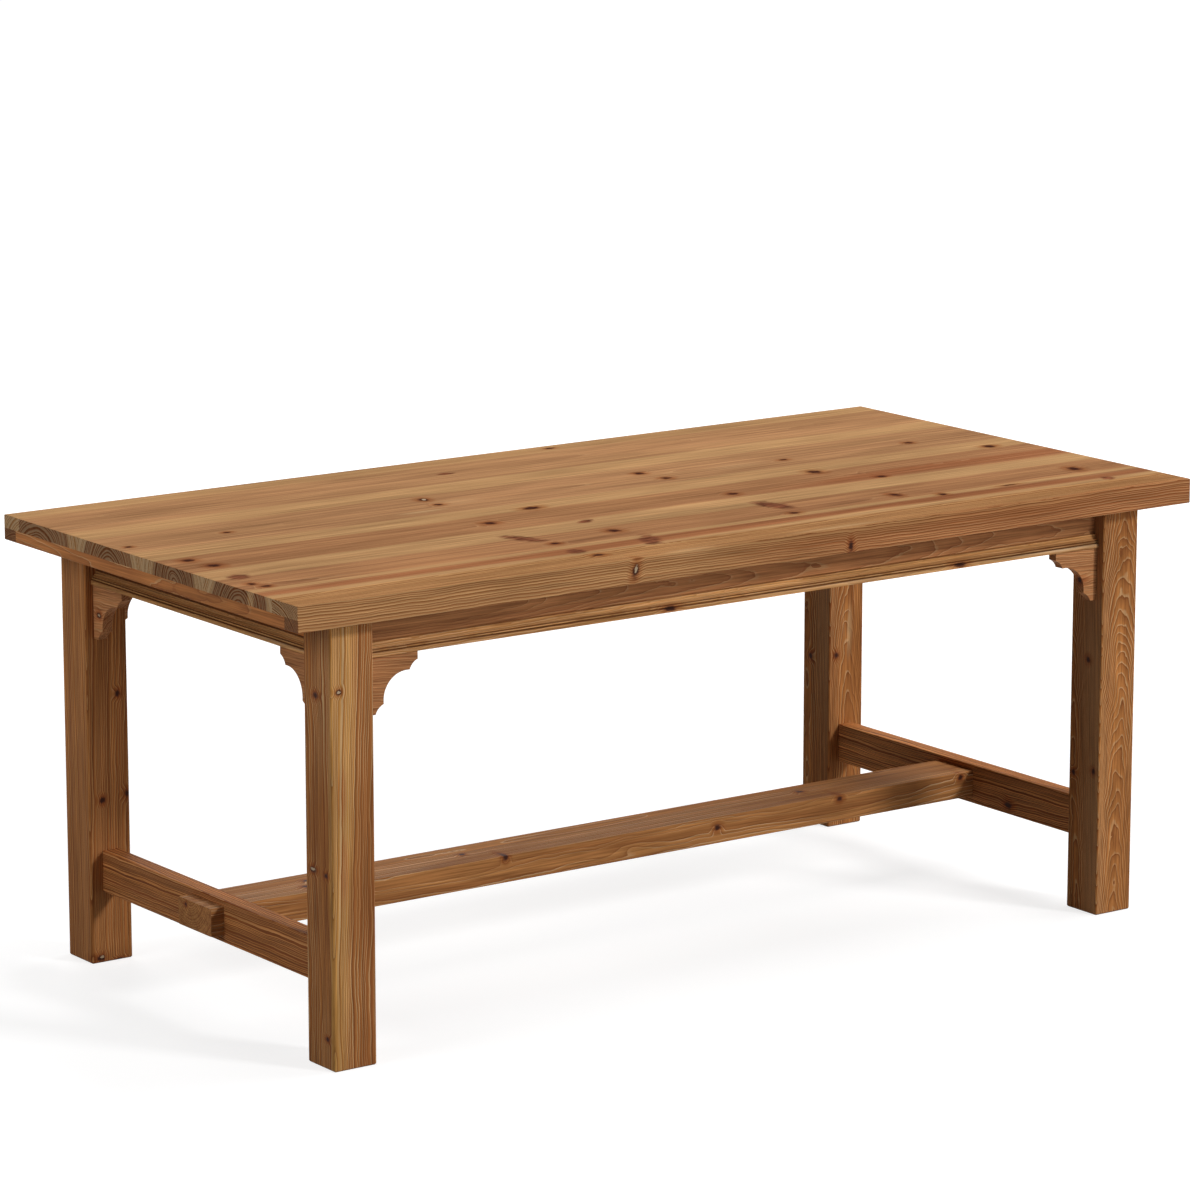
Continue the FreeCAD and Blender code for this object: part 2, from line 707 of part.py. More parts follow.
def make_apron(name, across, sign, tenons, block_holes):
    """Apron board with a tenon at each end, a groove for the buttons inside and its moulding outside."""
    other = "x" if across == "y" else "y"
    along = both(f"leg_inner_{other}")
    depth = span(sign, f"apron_back_{across}", f"apron_face_{across}")
    groove_depth = span(sign, f"apron_back_{across}",
                        f"apron_back_{across} + button_tongue_length - button_gap + joint_clearance")
    groove_height = ("button_bottom - joint_clearance",
                     "button_bottom + button_tongue_thickness + joint_clearance")
    height = ("apron_bottom", "leg_height")
    if across == "y":
        board = block(f"{name}_board", along, depth, height)
        groove = block(f"{name}_groove", along, groove_depth, groove_height)
    else:
        board = block(f"{name}_board", depth, along, height)
        groove = block(f"{name}_groove", groove_depth, along, groove_height)
    blocks = [block(f"{name}_tenon_{number}", *extents) for number, extents in enumerate(tenons, start=1)]
    node(name, cut(f"{name}_cut", fused(f"{name}_blank", [board] + blocks), [groove] + block_holes))

    corners, arcs = moulding_outline()
    strip = profile(f"{name}_moulding_body", corners, f"2 * leg_inner_{other}", arcs)
    outward = (Y_AXIS if across == "y" else X_AXIS) * sign
    lengthwise = outward.cross(Z_AXIS)
    turn = FreeCAD.Rotation(outward, Z_AXIS, lengthwise, "XYZ")
    start = f"{-int(lengthwise.x + lengthwise.y)} * leg_inner_{other}"
    face = f"{sign} * apron_face_{across}"
    x, y = (start, face) if across == "y" else (face, start)
    place(strip, x, y, "apron_bottom", turn)
    node(name.replace("apron", "apron_moulding"), strip)


def make_stretchers():
    """End stretchers between the legs, and the centre stretcher that passes through them."""
    centre = plank("centre_stretcher_blank", both("centre_end_x"), both("centre_stretcher_width / 2"),
                   ("centre_bottom", "centre_top"))
    dress_edges(centre, "Fillet", "Radius", "stretcher_edge_radius", lambda edge: runs_along(edge, X_AXIS))
    screws = []
    holes = []
    for end, end_sign in ENDS.items():
        blank = plank(f"end_stretcher_{end}_blank", span(end_sign, "stretcher_inner_x", "stretcher_outer_x"),
                      both("leg_inner_y"), ("stretcher_floor_gap", "stretcher_top"))
        dress_edges(blank, "Fillet", "Radius", "stretcher_edge_radius", lambda edge: runs_along(edge, Y_AXIS))
        tenons = [block(f"end_stretcher_{end}_tenon_{side}", *stretcher_tenon(sign, end_sign))
                  for side, sign in SIDES.items()]
        through = mortise_for(f"through_mortise_{end}",
                              span(end_sign, "stretcher_inner_x", "stretcher_outer_x"),
                              both("centre_stretcher_width / 2"), ("centre_bottom", "centre_top"))
        own_holes = []
        for side, sign in SIDES.items():
            body, hole = screw(f"stretcher_screw_{end}_{side}", "stretcher_screw_length",
                               f"{end_sign} * (stretcher_inner_x + stretcher_outer_x) / 2",
                               f"{sign} * centre_stretcher_width / 4", "stretcher_floor_gap")
            screws.append(body)
            own_holes.append(hole)
        joined = fused(f"end_stretcher_{end}_joined", [blank] + tenons)
        open_rail = cut(f"end_stretcher_{end}_open", joined, [through])
        node(f"end_stretcher_{end}", cut(f"end_stretcher_{end}_cut", open_rail, own_holes))
        holes += own_holes
    node("centre_stretcher", cut("centre_stretcher_cut", centre, holes))
    node("stretcher_screws", group("stretcher_screw_group", screws), len(screws))


def make_frame():
    """Legs with what is fastened to them, then the aprons between the legs."""
    small_groups = ("bracket_dowels", "hanger_bolts", "hanger_washers", "hanger_nuts", "corner_block_screws")
    groups = {label: [] for label in small_groups}
    apron_holes = {apron: [] for apron in (*SIDES, *ENDS)}
    for side in SIDES:
        for end in ENDS:
            make_corner(side, end, groups, apron_holes)
    for label, pieces in groups.items():
        node(label, group(f"{label}_group", pieces), len(pieces))
    for side, sign in SIDES.items():
        tenons = [apron_tenon("y", sign, end_sign) for end_sign in ENDS.values()]
        make_apron(f"apron_{side}", "y", sign, tenons, apron_holes[side])
    for end, sign in ENDS.items():
        tenons = [apron_tenon("x", side_sign, sign) for side_sign in SIDES.values()]
        make_apron(f"apron_{end}", "x", sign, tenons, apron_holes[end])


def write_parts():
    """Check every object and sub-part, then write one file for each."""
    doc.recompute()
    for item in doc.Objects:
        if "Invalid" in item.State or "Error" in item.State:
            raise RuntimeError(f"{item.Name} failed: {item.State}")
    for item, solids in nodes:
        if item.Shape.isNull() or not item.Shape.isValid() or len(item.Shape.Solids) != solids:
            raise RuntimeError(f"{item.Label} is not {solids} sound solid(s)")
    os.makedirs("parts", exist_ok=True)
    for item, solids in nodes:
        item.Shape.exportStep(os.path.join("parts", f"{item.Label}.step"))


screw_holes = make_battens() + make_buttons()
make_top_boards(screw_holes)
make_edge_strips()
make_frame()
make_stretchers()
write_parts()
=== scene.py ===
"""Looks of a farmhouse dining table in stained and limed pine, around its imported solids."""
import logging
import math
from dataclasses import dataclass, replace
from enum import Enum
from typing import ClassVar, Sequence, Union

import bpy
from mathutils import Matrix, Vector


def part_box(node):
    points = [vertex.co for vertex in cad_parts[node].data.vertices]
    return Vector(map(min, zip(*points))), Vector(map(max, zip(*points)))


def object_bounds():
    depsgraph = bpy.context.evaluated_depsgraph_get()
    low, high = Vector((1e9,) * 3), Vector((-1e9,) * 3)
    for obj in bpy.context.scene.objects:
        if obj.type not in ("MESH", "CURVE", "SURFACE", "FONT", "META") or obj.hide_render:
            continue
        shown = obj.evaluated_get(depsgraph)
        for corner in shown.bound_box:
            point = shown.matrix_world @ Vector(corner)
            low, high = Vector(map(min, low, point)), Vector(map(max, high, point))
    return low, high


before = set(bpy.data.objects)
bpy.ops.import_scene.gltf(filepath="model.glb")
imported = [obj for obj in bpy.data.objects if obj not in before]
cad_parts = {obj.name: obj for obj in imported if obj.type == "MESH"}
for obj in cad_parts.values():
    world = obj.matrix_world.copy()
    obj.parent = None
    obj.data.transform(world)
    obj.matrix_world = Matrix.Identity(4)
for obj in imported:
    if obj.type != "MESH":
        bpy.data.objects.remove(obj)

Triple = tuple[float, float, float]
Socket = bpy.types.NodeSocket
Feed = Union[Socket, float, Sequence[float]]

CAD_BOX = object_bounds()
TOP_HEIGHT: float = CAD_BOX[1][2]
NO_MARK = 9.0
ORIGIN: Triple = (0.0, 0.0, 0.0)
NO_TURN: Triple = (0.0, 0.0, 0.0)
METRES: Triple = (1.0, 1.0, 1.0)
ALONG_GRAIN: Triple = (1.0, 0.0, 0.0)
ACROSS_GRAIN: Triple = (0.0, 1.0, 1.0)

log = logging.getLogger("farmhouse_table")


class GrainWay(Enum):
    """Way that a piece's grain runs, as the turn in degrees that takes the first axis onto it."""

    LENGTHWISE = (0.0, 0.0, 0.0)
    CROSSWISE = (0.0, 0.0, 90.0)
    UPRIGHT = (0.0, -90.0, 0.0)


class Mark(Enum):
    """Kinds of mark in the wood, by the name of their socket on the grain group."""

    KNOT = "Knot"
    SPIKE = "Spike"
    SPECK = "Speck"
    # Worn, paler wood; on the moulding edges it is also a painted highlight.
    RUB = "Rub"
    SWIRL = "Swirl"
    SAP_STREAK = "Sap streak"
    RED_STREAK = "Red streak"
    # Darker glaze: real stain gathered on the strips' ends, and painted shade in each groove of the
    # mouldings.
    GLAZE = "Glaze"


class Edge(Enum):
    """Uneven edges of marks: how uneven in the mark's radii, and how often they change per metre."""

    KNOT = (1.3, (80.0, 270.0, 270.0))
    SPIKE = (1.7, (40.0, 280.0, 280.0))
    SPECK = (1.6, (300.0, 420.0, 420.0))
    SAP_STREAK = (0.7, (5.0, 24.0, 24.0))
    RED_STREAK = (1.1, (3.0, 16.0, 16.0))


class Scale:
    """How often patterns in the wood change per metre, along the grain and both ways across it."""

    WANDER = (1.6, 6.0, 6.0)
    RIPPLE = (15.0, 34.0, 34.0)
    JAG = (75.0, 110.0, 110.0)
    CLOUD = (2.2, 13.0, 13.0)
    STRAND = (0.9, 62.0, 62.0)
    FIBRE = (6.0, 400.0, 400.0)
    WISP = (9.0, 160.0, 160.0)
    RUST = (35.0, 340.0, 340.0)


class Fade:
    """Runs over which something comes in: the value that gives none of it, and the one that gives all."""

    KNOT = (1.30, 0.5)
    KNOT_CORE = (0.95, 0.3)
    KNOT_HALO = (2.6, 0.9)
    KNOT_SWELL = (3.2, 0.4)
    KNOT_GLOSS = (1.1, 0.8)
    KNOT_RISE = (1.3, 0.9)
    SWIRL = (1.6, 0.0)
    SPIKE = (1.35, 0.6)
    RUST_LIGHT = (0.40, 0.60)
    SPECK = (1.1, 0.7)
    RED_STREAK = (1.2, 0.5)
    BESIDE_SAP_STREAK = (0.6, 1.2)
    GLAZE = (1.3, 0.8)
    RUB = (1.3, 0.2)
    RUBBED_STRAND = (0.42, 0.66)
    LIMED_CLOUD = (0.30, 0.58)
    HEART_DEPTH = (-0.002, 0.004)
    LATE_LINE = (0.0020, 0.0004)
    LIME_LINE = (0.0017, 0.0005)
    END_GRAIN = (0.55, 0.9)
    END_EARLY = (0.45, 0.12)
    DULL_ZINC = (0.35, 0.7)


class Tint:
    """Colours of marks and of end grain, and tints that multiply the colour of clear wood."""

    RED_STREAK = (0.86, 0.66, 0.62)
    GLAZE = (0.45, 0.36, 0.32)
    END_SAP = (0.74, 0.65, 0.57)
    END_HEART = (0.46, 0.34, 0.28)
    END_EARLY = (0.60, 0.43, 0.25)
    KNOT_HALO = (0.72, 0.47, 0.36)
    KNOT_RIM = (0.130, 0.042, 0.021)
    KNOT_CORE = (0.054, 0.020, 0.013)
    RUST_DARK = (0.085, 0.028, 0.016)
    RUST_LIGHT = (0.290, 0.098, 0.048)
    SPECK = (0.50, 0.37, 0.24)


class Side(Enum):
    """Sides of the table, by the word for them in the names of pieces."""

    FRONT = "front"
    BACK = "back"
    LEFT = "left"
    RIGHT = "right"

    @property
    def is_long(self) -> bool:
        """Whether the side runs the length of the table."""
        return self in (Side.FRONT, Side.BACK)


def middle(node: str) -> Vector:
    """Middle of a CAD node's box."""
    low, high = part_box(node)
    return (low + high) / 2.0


@dataclass(frozen=True)
class Spot:
    """One mark in the wood: an ellipsoid in the part's frame, in metres and degrees."""

    kind: Mark
    centre: Triple
    radii: Triple
    turn: Triple = NO_TURN
    TOP_DEPTH: ClassVar[float] = 0.045
    FACE_DEPTH: ClassVar[float] = 0.022

    @classmethod
    def on_top(cls, kind: Mark, x: float, y: float, along: float, across: float, turn: float = 0.0) -> "Spot":
        """Mark on the table's upper face.

        Args:
            kind: kind of mark.
            x: place along the table.
            y: place across it.
            along: radius along the table.
            across: radius across it.
            turn: turn about the upright axis, in degrees.

        Returns:
            The mark.
        """
        return cls(kind, (x, y, TOP_HEIGHT), (along, across, cls.TOP_DEPTH), (0.0, 0.0, turn))

    @classmethod
    def on_face(
        cls, kind: Mark, node: str, side: Side, place: float, z: float, wide: float, tall: float,
        turn: float = 0.0,
    ) -> "Spot":
        """Mark on a piece's front or left face.

        Args:
            kind: kind of mark.
            node: name of the piece.
            side: front or left.
            place: level place on the face.
            z: height.
            wide: level radius.
            tall: upright radius.
            turn: turn about the axis into the face, in degrees.

        Returns:
            The mark.
        """
        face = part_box(node)[0]
        if side is Side.FRONT:
            return cls(kind, (place, face.y, z), (wide, cls.FACE_DEPTH, tall), (0.0, turn, 0.0))
        return cls(kind, (face.x, place, z), (cls.FACE_DEPTH, wide, tall), (turn, 0.0, 0.0))


@dataclass(frozen=True)
class Stain:
    """Colours and surface of one batch of stained pine."""

    sap_light: Triple = (0.520, 0.275, 0.078)
    sap_dark: Triple = (0.330, 0.140, 0.040)
    heart_light: Triple = (0.465, 0.192, 0.058)
    heart_dark: Triple = (0.245, 0.084, 0.026)
    lime: Triple = (0.600, 0.385, 0.190)
    lime_share: float = 0.75
    ring_share: float = 0.60
    strand_share: float = 2.0
    end_shade: float = 1.0
    bump: float = 0.45


@dataclass(frozen=True)
class Cut:
    """How a piece was sawn from its log, in metres and degrees."""

    way: GrainWay
    pith: Triple
    tilt: Triple = NO_TURN
    ring_width: float = 0.0055
    heart_radius: float = 0.20
    wander: float = 0.045
    ripple: float = 0.004
    seed: float = 0.0

    def mirrored(self, right: float, back: float, step: float) -> "Cut":
        """Cut of the matching piece in another quarter of the table.

        Args:
            right: 1 for the right half, -1 for the left half.
            back: 1 for the back half, -1 for the front half.
            step: what is added to the seed.

        Returns:
            The new cut.
        """
        x, y, z = self.pith
        return replace(self, pith=(right * x, back * y, z), seed=self.seed + step)


class NodeBench:
    """Adds nodes to a tree and links them."""

    def __init__(self, tree: bpy.types.NodeTree) -> None:
        """Keep the tree that nodes are added to."""
        self.tree = tree

    @classmethod
    def for_material(cls, name: str) -> tuple["NodeBench", bpy.types.Material]:
        """Start a new material with an empty tree.

        Args:
            name: name of the material.

        Returns:
            A bench for the tree, and the material.
        """
        material = bpy.data.materials.new(name)
        material.use_nodes = True
        material.node_tree.nodes.clear()
        return cls(material.node_tree), material

    def feed(self, socket: Socket, value: Feed) -> None:
        """Link a socket, or set it to a plain value.

        Args:
            socket: input socket of a node in the tree.
            value: output socket to link, or a number or a row of numbers.
        """
        if isinstance(value, Socket):
            self.tree.links.new(value, socket)
        elif socket.type == "RGBA":
            socket.default_value = (*value, 1.0)
        else:
            socket.default_value = value

    def add(self, kind: str, *values: Feed, **settings: object) -> bpy.types.Node:
        """Add a node of a kind.

        Args:
            kind: node type.
            values: what its first inputs are fed, in order.
            settings: attributes to set on it.

        Returns:
            The new node.
        """
        node = self.tree.nodes.new(kind)
        for name, value in settings.items():
            setattr(node, name, value)
        for socket, value in zip(node.inputs, values):
            self.feed(socket, value)
        return node

    def math(self, operation: str, *values: Feed) -> Socket:
        """Number worked out from one to three numbers."""
        return self.add("ShaderNodeMath", *values, operation=operation).outputs[0]

    def product(self, *values: Feed) -> Socket:
        """Product of two numbers."""
        return self.math("MULTIPLY", *values)

    def scaled(self, value: Feed, factor: Feed, start: Feed = 0.0) -> Socket:
        """Value times a factor, plus a start."""
        return self.math("MULTIPLY_ADD", value, factor, start)

    def vector(self, operation: str, *values: Feed) -> Socket:
        """Vector, or its length or dot product, worked out from vectors."""
        node = self.add("ShaderNodeVectorMath", *values, operation=operation)
        return node.outputs["Value" if operation in ("LENGTH", "DOT_PRODUCT") else "Vector"]

    def joined(self, x: Feed, y: Feed, z: Feed) -> Socket:
        """Vector of three numbers."""
        return self.add("ShaderNodeCombineXYZ", x, y, z).outputs["Vector"]

    def ease(self, value: Feed, start: float, end: float) -> Socket:
        """Smooth step from 0 at one value to 1 at another, which may be the smaller.

        Args:
            value: socket to read.
            start: value that gives 0.
            end: value that gives 1.

        Returns:
            The result's socket.
        """
        falling = start > end
        limits = (min(start, end), max(start, end), float(falling), float(not falling))
        node = self.add("ShaderNodeMapRange", value, *limits, interpolation_type="SMOOTHSTEP")
        return node.outputs["Result"]

    def mapping(self, vector: Feed, centre: Triple, turn: Triple, size: Triple) -> Socket:
        """Coordinates in a frame with its own centre, turn and units.

        Args:
            vector: coordinates to convert.
            centre: origin of the frame.
            turn: turn of the frame about its three axes, in degrees.
            size: length of the frame's units.

        Returns:
            Socket of the converted coordinates.
        """
        angles = [math.radians(angle) for angle in turn]
        node = self.add("ShaderNodeMapping", vector, centre, angles, size, vector_type="TEXTURE")
        return node.outputs["Vector"]

    def noise(
        self, vector: Feed, per_metre: Triple, detail: float, output: str = "Fac", rough: float = 0.5,
    ) -> Socket:
        """Soft noise about one half.

        Args:
            vector: coordinates in metres.
            per_metre: how often the noise changes along each axis.
            detail: number of finer layers.
            output: "Fac" for one value, "Color" for three separate ones.
            rough: weight of each finer layer against the one before.

        Returns:
            The noise's socket.
        """
        place = self.vector("MULTIPLY", vector, per_metre)
        node = self.add("ShaderNodeTexNoise", place, 0.0, 1.0, detail, rough, noise_dimensions="3D")
        return node.outputs[output]

    def mix(self, share: Feed, first: Feed, second: Feed, blend: str = "MIX") -> Socket:
        """Colour between two colours.

        Args:
            share: how much of the second colour there is.
            first: first colour.
            second: second colour.
            blend: how the two are mixed.

        Returns:
            Socket of the mixed colour.
        """
        node = self.add("ShaderNodeMix", share, data_type="RGBA", blend_type=blend)
        colours = [socket for socket in node.inputs if socket.type == "RGBA"]
        for socket, value in zip(colours, (first, second)):
            self.feed(socket, value)
        return next(socket for socket in node.outputs if socket.type == "RGBA")

    def tinted(self, share: Feed, colour: Feed, tint: Feed) -> Socket:
        """Colour that takes on a tint by a share."""
        return self.mix(share, colour, tint, "MULTIPLY")

    def ramp(self, value: Feed, stops: Sequence[tuple[float, float]]) -> Socket:
        """Number that follows straight runs between stops.

        Args:
            value: place along the run, from 0 to 1.
            stops: pairs of a place and the number there.

        Returns:
            The result's socket.
        """
        node = self.add("ShaderNodeValToRGB", value)
        elements = node.color_ramp.elements
        while len(elements) < len(stops):
            elements.new(1.0)
        for element, (place, level) in zip(elements, stops):
            element.position = place
            element.color = (level, level, level, 1.0)
        return node.outputs["Color"]

    def surface(self, **feeds: Feed) -> None:
        """End the tree in a shader.

        Args:
            feeds: what the shader's inputs are fed, by their names with underscores for spaces.
        """
        shader = self.add("ShaderNodeBsdfPrincipled")
        for name, value in feeds.items():
            self.feed(shader.inputs[name.replace("_", " ")], value)
        self.add("ShaderNodeOutputMaterial", shader.outputs["BSDF"])


class PineGrain(NodeBench):
    """Node group with the solid grain of pine: rings about a wandering pith, heartwood, fibres and marks."""

    VECTORS = ("Grain", "Facing")
    NUMBERS = (
        *(mark.value for mark in Mark), "Ring width", "Heart radius", "Wander", "Ripple", "Seed",
        "Lime share", "Ring share", "Strand share", "End shade", "Bump",
    )
    COLOURS = ("Sap light", "Sap dark", "Heart light", "Heart dark", "Lime")
    KNOT_SWELL = 1.4
    JAG = 0.0007
    FLAT_SLOPE = 1.035
    RELIEF_DEPTH = 0.0007
    RING_CHANGES = 85.0
    RING_DRIFT = 2.4
    RING_BODY = ((0.0, 0.0), (0.4, 0.1), (0.8, 0.5), (1.0, 0.6))
    STRAND_ROUGHNESS = 0.62
    STAIN_DEPTH = 0.3
    RED_SHARE = 0.85
    RUB_SHARE = 0.75
    HALO_SHARE = 1.3
    SPIKE_SHARE = 0.95
    CLOUD_TONE = 0.7
    FIBRE_TONE = 1.5
    TONE_START = -0.1
    EARLY_IN_SAP = 0.62
    LESS_IN_HEART = -0.30
    ROUGHNESS = 0.46
    FIBRE_ROUGHNESS = 0.24
    LATE_ROUGHNESS = -0.08
    KNOT_ROUGHNESS = -0.12
    FIBRE_RISE = 0.55
    LATE_RISE = 0.45
    LIME_RISE = -0.35
    KNOT_RISE = 0.6

    def __init__(self) -> None:
        """Make the group's sockets and link its nodes."""
        super().__init__(bpy.data.node_groups.new("pine_grain", "ShaderNodeTree"))
        for kind, names in (("Vector", self.VECTORS), ("Float", self.NUMBERS), ("Color", self.COLOURS)):
            for name in names:
                self.socket(name, "INPUT", kind)
        for name, kind in (("Color", "Color"), ("Roughness", "Float"), ("Normal", "Vector")):
            self.socket(name, "OUTPUT", kind)
        self.given = self.add("NodeGroupInput").outputs
        seed = self.joined(self.given["Seed"], 0.0, 0.0)
        self.own = self.vector("ADD", self.given["Grain"], seed)
        self.knot = self.ragged(Mark.KNOT)
        self.fibre = self.noise(self.own, Scale.FIBRE, detail=3.0)
        bent = self.bent()
        radius = self.radius(bent)
        self.late, self.pale = self.rings(radius, self.slope(bent))
        self.heart = self.heartwood(radius)
        self.end = self.end_share()
        colour = self.marked(self.end_grain(self.timber()))
        self.add("NodeGroupOutput", colour, self.roughness(), self.relief())

    def socket(self, name: str, side: str, kind: str) -> None:
        """Add a socket to the group."""
        self.tree.interface.new_socket(name=name, in_out=side, socket_type=f"NodeSocket{kind}")

    def end_share(self) -> Socket:
        """1 on end grain, and 0 on long grain."""
        along = self.vector("DOT_PRODUCT", self.given["Facing"], ALONG_GRAIN)
        return self.ease(self.math("ABSOLUTE", along), *Fade.END_GRAIN)

    def ragged(self, mark: Mark) -> Socket:
        """Distance from a kind of mark, with an uneven edge.

        Args:
            mark: kind of mark.

        Returns:
            Socket of the distance, in the mark's radii.
        """
        amount, per_metre = Edge[mark.name].value
        clear = self.math("SUBTRACT", self.given[mark.value], 0.5 * amount)
        return self.scaled(self.noise(self.own, per_metre, detail=2.0), amount, clear)

    def sway(self, scale: Triple, amount: Feed) -> Socket:
        """Shift across the grain that changes along and across the piece.

        Args:
            scale: how often the shift changes.
            amount: largest shift.

        Returns:
            Socket of the shift.
        """
        noise = self.noise(self.own, scale, detail=1.5, output="Color")
        both_ways = self.vector("SUBTRACT", noise, (0.5, 0.5, 0.5))
        return self.vector("MULTIPLY", both_ways, self.joined(0.0, amount, amount))

    def bent(self) -> Socket:
        """Place across the grain, measured from the wandering pith.

        Returns:
            Socket of the place in metres.
        """
        place = self.vector("MULTIPLY", self.given["Grain"], ACROSS_GRAIN)
        wander, ripple = self.given["Wander"], self.given["Ripple"]
        for scale, amount in ((Scale.WANDER, wander), (Scale.RIPPLE, ripple), (Scale.JAG, self.JAG)):
            place = self.vector("ADD", place, self.sway(scale, amount))
        return place

    def slope(self, bent: Feed) -> Socket:
        """How steeply the rings cut the surface, from a little above 0 where they lie flat in it to 1.

        Args:
            bent: place across the grain.

        Returns:
            Socket of the slope.
        """
        lean = self.vector("DOT_PRODUCT", self.given["Facing"], self.vector("NORMALIZE", bent))
        return self.math("SQRT", self.scaled(self.product(lean, lean), -1.0, self.FLAT_SLOPE))

    def radius(self, bent: Feed) -> Socket:
        """Distance from the wandering pith, swollen round knots and swirls.

        Args:
            bent: place across the grain.

        Returns:
            Socket of the distance in metres.
        """
        by_knot = self.ease(self.given["Knot"], *Fade.KNOT_SWELL)
        swell = self.math("ADD", by_knot, self.ease(self.given["Swirl"], *Fade.SWIRL))
        most = self.product(self.given["Ring width"], self.KNOT_SWELL)
        return self.scaled(swell, most, self.vector("LENGTH", bent))

    def rings(self, radius: Feed, slope: Feed) -> tuple[Socket, Socket]:
        """Growth rings of uneven width, with thin lines where one ring ends and the next begins.

        Args:
            radius: distance from the pith.
            slope: how steeply the rings cut the surface.

        Returns:
            Sockets of the late wood and of the limed early wood, each from 0 to 1.
        """
        feeds = (ORIGIN, radius, self.RING_CHANGES, 1.0)
        uneven = self.add("ShaderNodeTexNoise", *feeds, noise_dimensions="1D")
        count = self.math("DIVIDE", radius, self.given["Ring width"])
        place = self.math("FRACT", self.scaled(uneven.outputs["Fac"], self.RING_DRIFT, count))
        width = self.math("DIVIDE", self.given["Ring width"], slope)
        after = self.product(place, width)
        before = self.math("SUBTRACT", width, after)
        late = self.math("MAXIMUM", self.ramp(place, self.RING_BODY), self.ease(before, *Fade.LATE_LINE))
        return late, self.ease(after, *Fade.LIME_LINE)

    def heartwood(self, radius: Feed) -> Socket:
        """How much a place is heartwood.

        Args:
            radius: distance from the pith.

        Returns:
            Socket of the share, from 0 to 1.
        """
        depth = self.math("SUBTRACT", self.given["Heart radius"], radius)
        beside_streak = self.ease(self.ragged(Mark.SAP_STREAK), *Fade.BESIDE_SAP_STREAK)
        return self.product(self.ease(depth, *Fade.HEART_DEPTH), beside_streak)

    def timber(self) -> Socket:
        """Colour of clear wood, with its stain, its lime and its wear, and the painted shade in each moulding
        groove and painted highlight on the moulding edges that the glaze and rub marks carry.

        Returns:
            Socket of the colour.
        """
        given = self.given
        strand = self.noise(self.own, Scale.STRAND, detail=5.0, rough=self.STRAND_ROUGHNESS)
        cloud = self.noise(self.own, Scale.CLOUD, detail=2.0)
        depth = self.scaled(self.math("SUBTRACT", strand, 0.5), given["Strand share"], self.STAIN_DEPTH)
        depth = self.scaled(self.late, given["Ring share"], depth)
        sap = self.mix(depth, given["Sap light"], given["Sap dark"])
        core = self.mix(depth, given["Heart light"], given["Heart dark"])
        red = self.product(self.ease(self.ragged(Mark.RED_STREAK), *Fade.RED_STREAK), self.RED_SHARE)
        colour = self.tinted(red, self.mix(self.heart, sap, core), Tint.RED_STREAK)
        long_grain = self.math("SUBTRACT", 1.0, self.end)
        kept = self.product(self.ease(cloud, *Fade.LIMED_CLOUD), long_grain)
        limed = self.product(self.product(self.pale, given["Lime share"]), kept)
        # Worn places turn paler towards the lime; on the moulding edges this also paints a highlight.
        worn = self.product(self.ease(given["Rub"], *Fade.RUB), self.ease(strand, *Fade.RUBBED_STRAND))
        bare = self.math("MAXIMUM", limed, self.product(worn, self.RUB_SHARE))
        colour = self.mix(bare, colour, given["Lime"])
        tone = self.scaled(self.fibre, self.FIBRE_TONE, self.TONE_START)
        tone = self.scaled(cloud, self.CLOUD_TONE, tone)
        colour = self.tinted(1.0, colour, self.joined(tone, tone, tone))
        # Glaze darkens the wood: real stain on the strip ends, and painted shade in each moulding groove.
        return self.tinted(self.ease(given["Glaze"], *Fade.GLAZE), colour, Tint.GLAZE)

    def end_grain(self, colour: Feed) -> Socket:
        """Clear wood with its end grain, which takes up more stain, most of all in the heart.

        Args:
            colour: colour of clear wood.

        Returns:
            Socket of the colour.
        """
        taken_up = self.mix(self.heart, Tint.END_SAP, Tint.END_HEART)
        stained = self.tinted(1.0, colour, taken_up)
        share = self.scaled(self.heart, self.LESS_IN_HEART, self.EARLY_IN_SAP)
        early = self.product(self.ease(self.late, *Fade.END_EARLY), share)
        ringed = self.mix(early, stained, Tint.END_EARLY)
        return self.mix(self.product(self.end, self.given["End shade"]), colour, ringed)

    def marked(self, colour: Feed) -> Socket:
        """Wood with its knots, spike knots and pale specks.

        Args:
            colour: colour of the wood without them.

        Returns:
            Socket of the colour.
        """
        wisp = self.noise(self.own, Scale.WISP, detail=2.0)
        halo = self.product(self.ease(self.knot, *Fade.KNOT_HALO), wisp)
        colour = self.tinted(self.product(halo, self.HALO_SHARE), colour, Tint.KNOT_HALO)
        core = self.mix(self.ease(self.knot, *Fade.KNOT_CORE), Tint.KNOT_RIM, Tint.KNOT_CORE)
        colour = self.mix(self.ease(self.knot, *Fade.KNOT), colour, core)
        streak = self.ease(self.noise(self.own, Scale.RUST, detail=3.0), *Fade.RUST_LIGHT)
        rust = self.mix(streak, Tint.RUST_DARK, Tint.RUST_LIGHT)
        spike = self.ease(self.ragged(Mark.SPIKE), *Fade.SPIKE)
        colour = self.mix(self.product(spike, self.SPIKE_SHARE), colour, rust)
        return self.mix(self.ease(self.ragged(Mark.SPECK), *Fade.SPECK), colour, Tint.SPECK)

    def roughness(self) -> Socket:
        """Roughness, lower on late wood and knots.

        Returns:
            Socket of the roughness.
        """
        base = self.scaled(self.fibre, self.FIBRE_ROUGHNESS, self.ROUGHNESS)
        base = self.scaled(self.late, self.LATE_ROUGHNESS, base)
        return self.scaled(self.ease(self.knot, *Fade.KNOT_GLOSS), self.KNOT_ROUGHNESS, base)

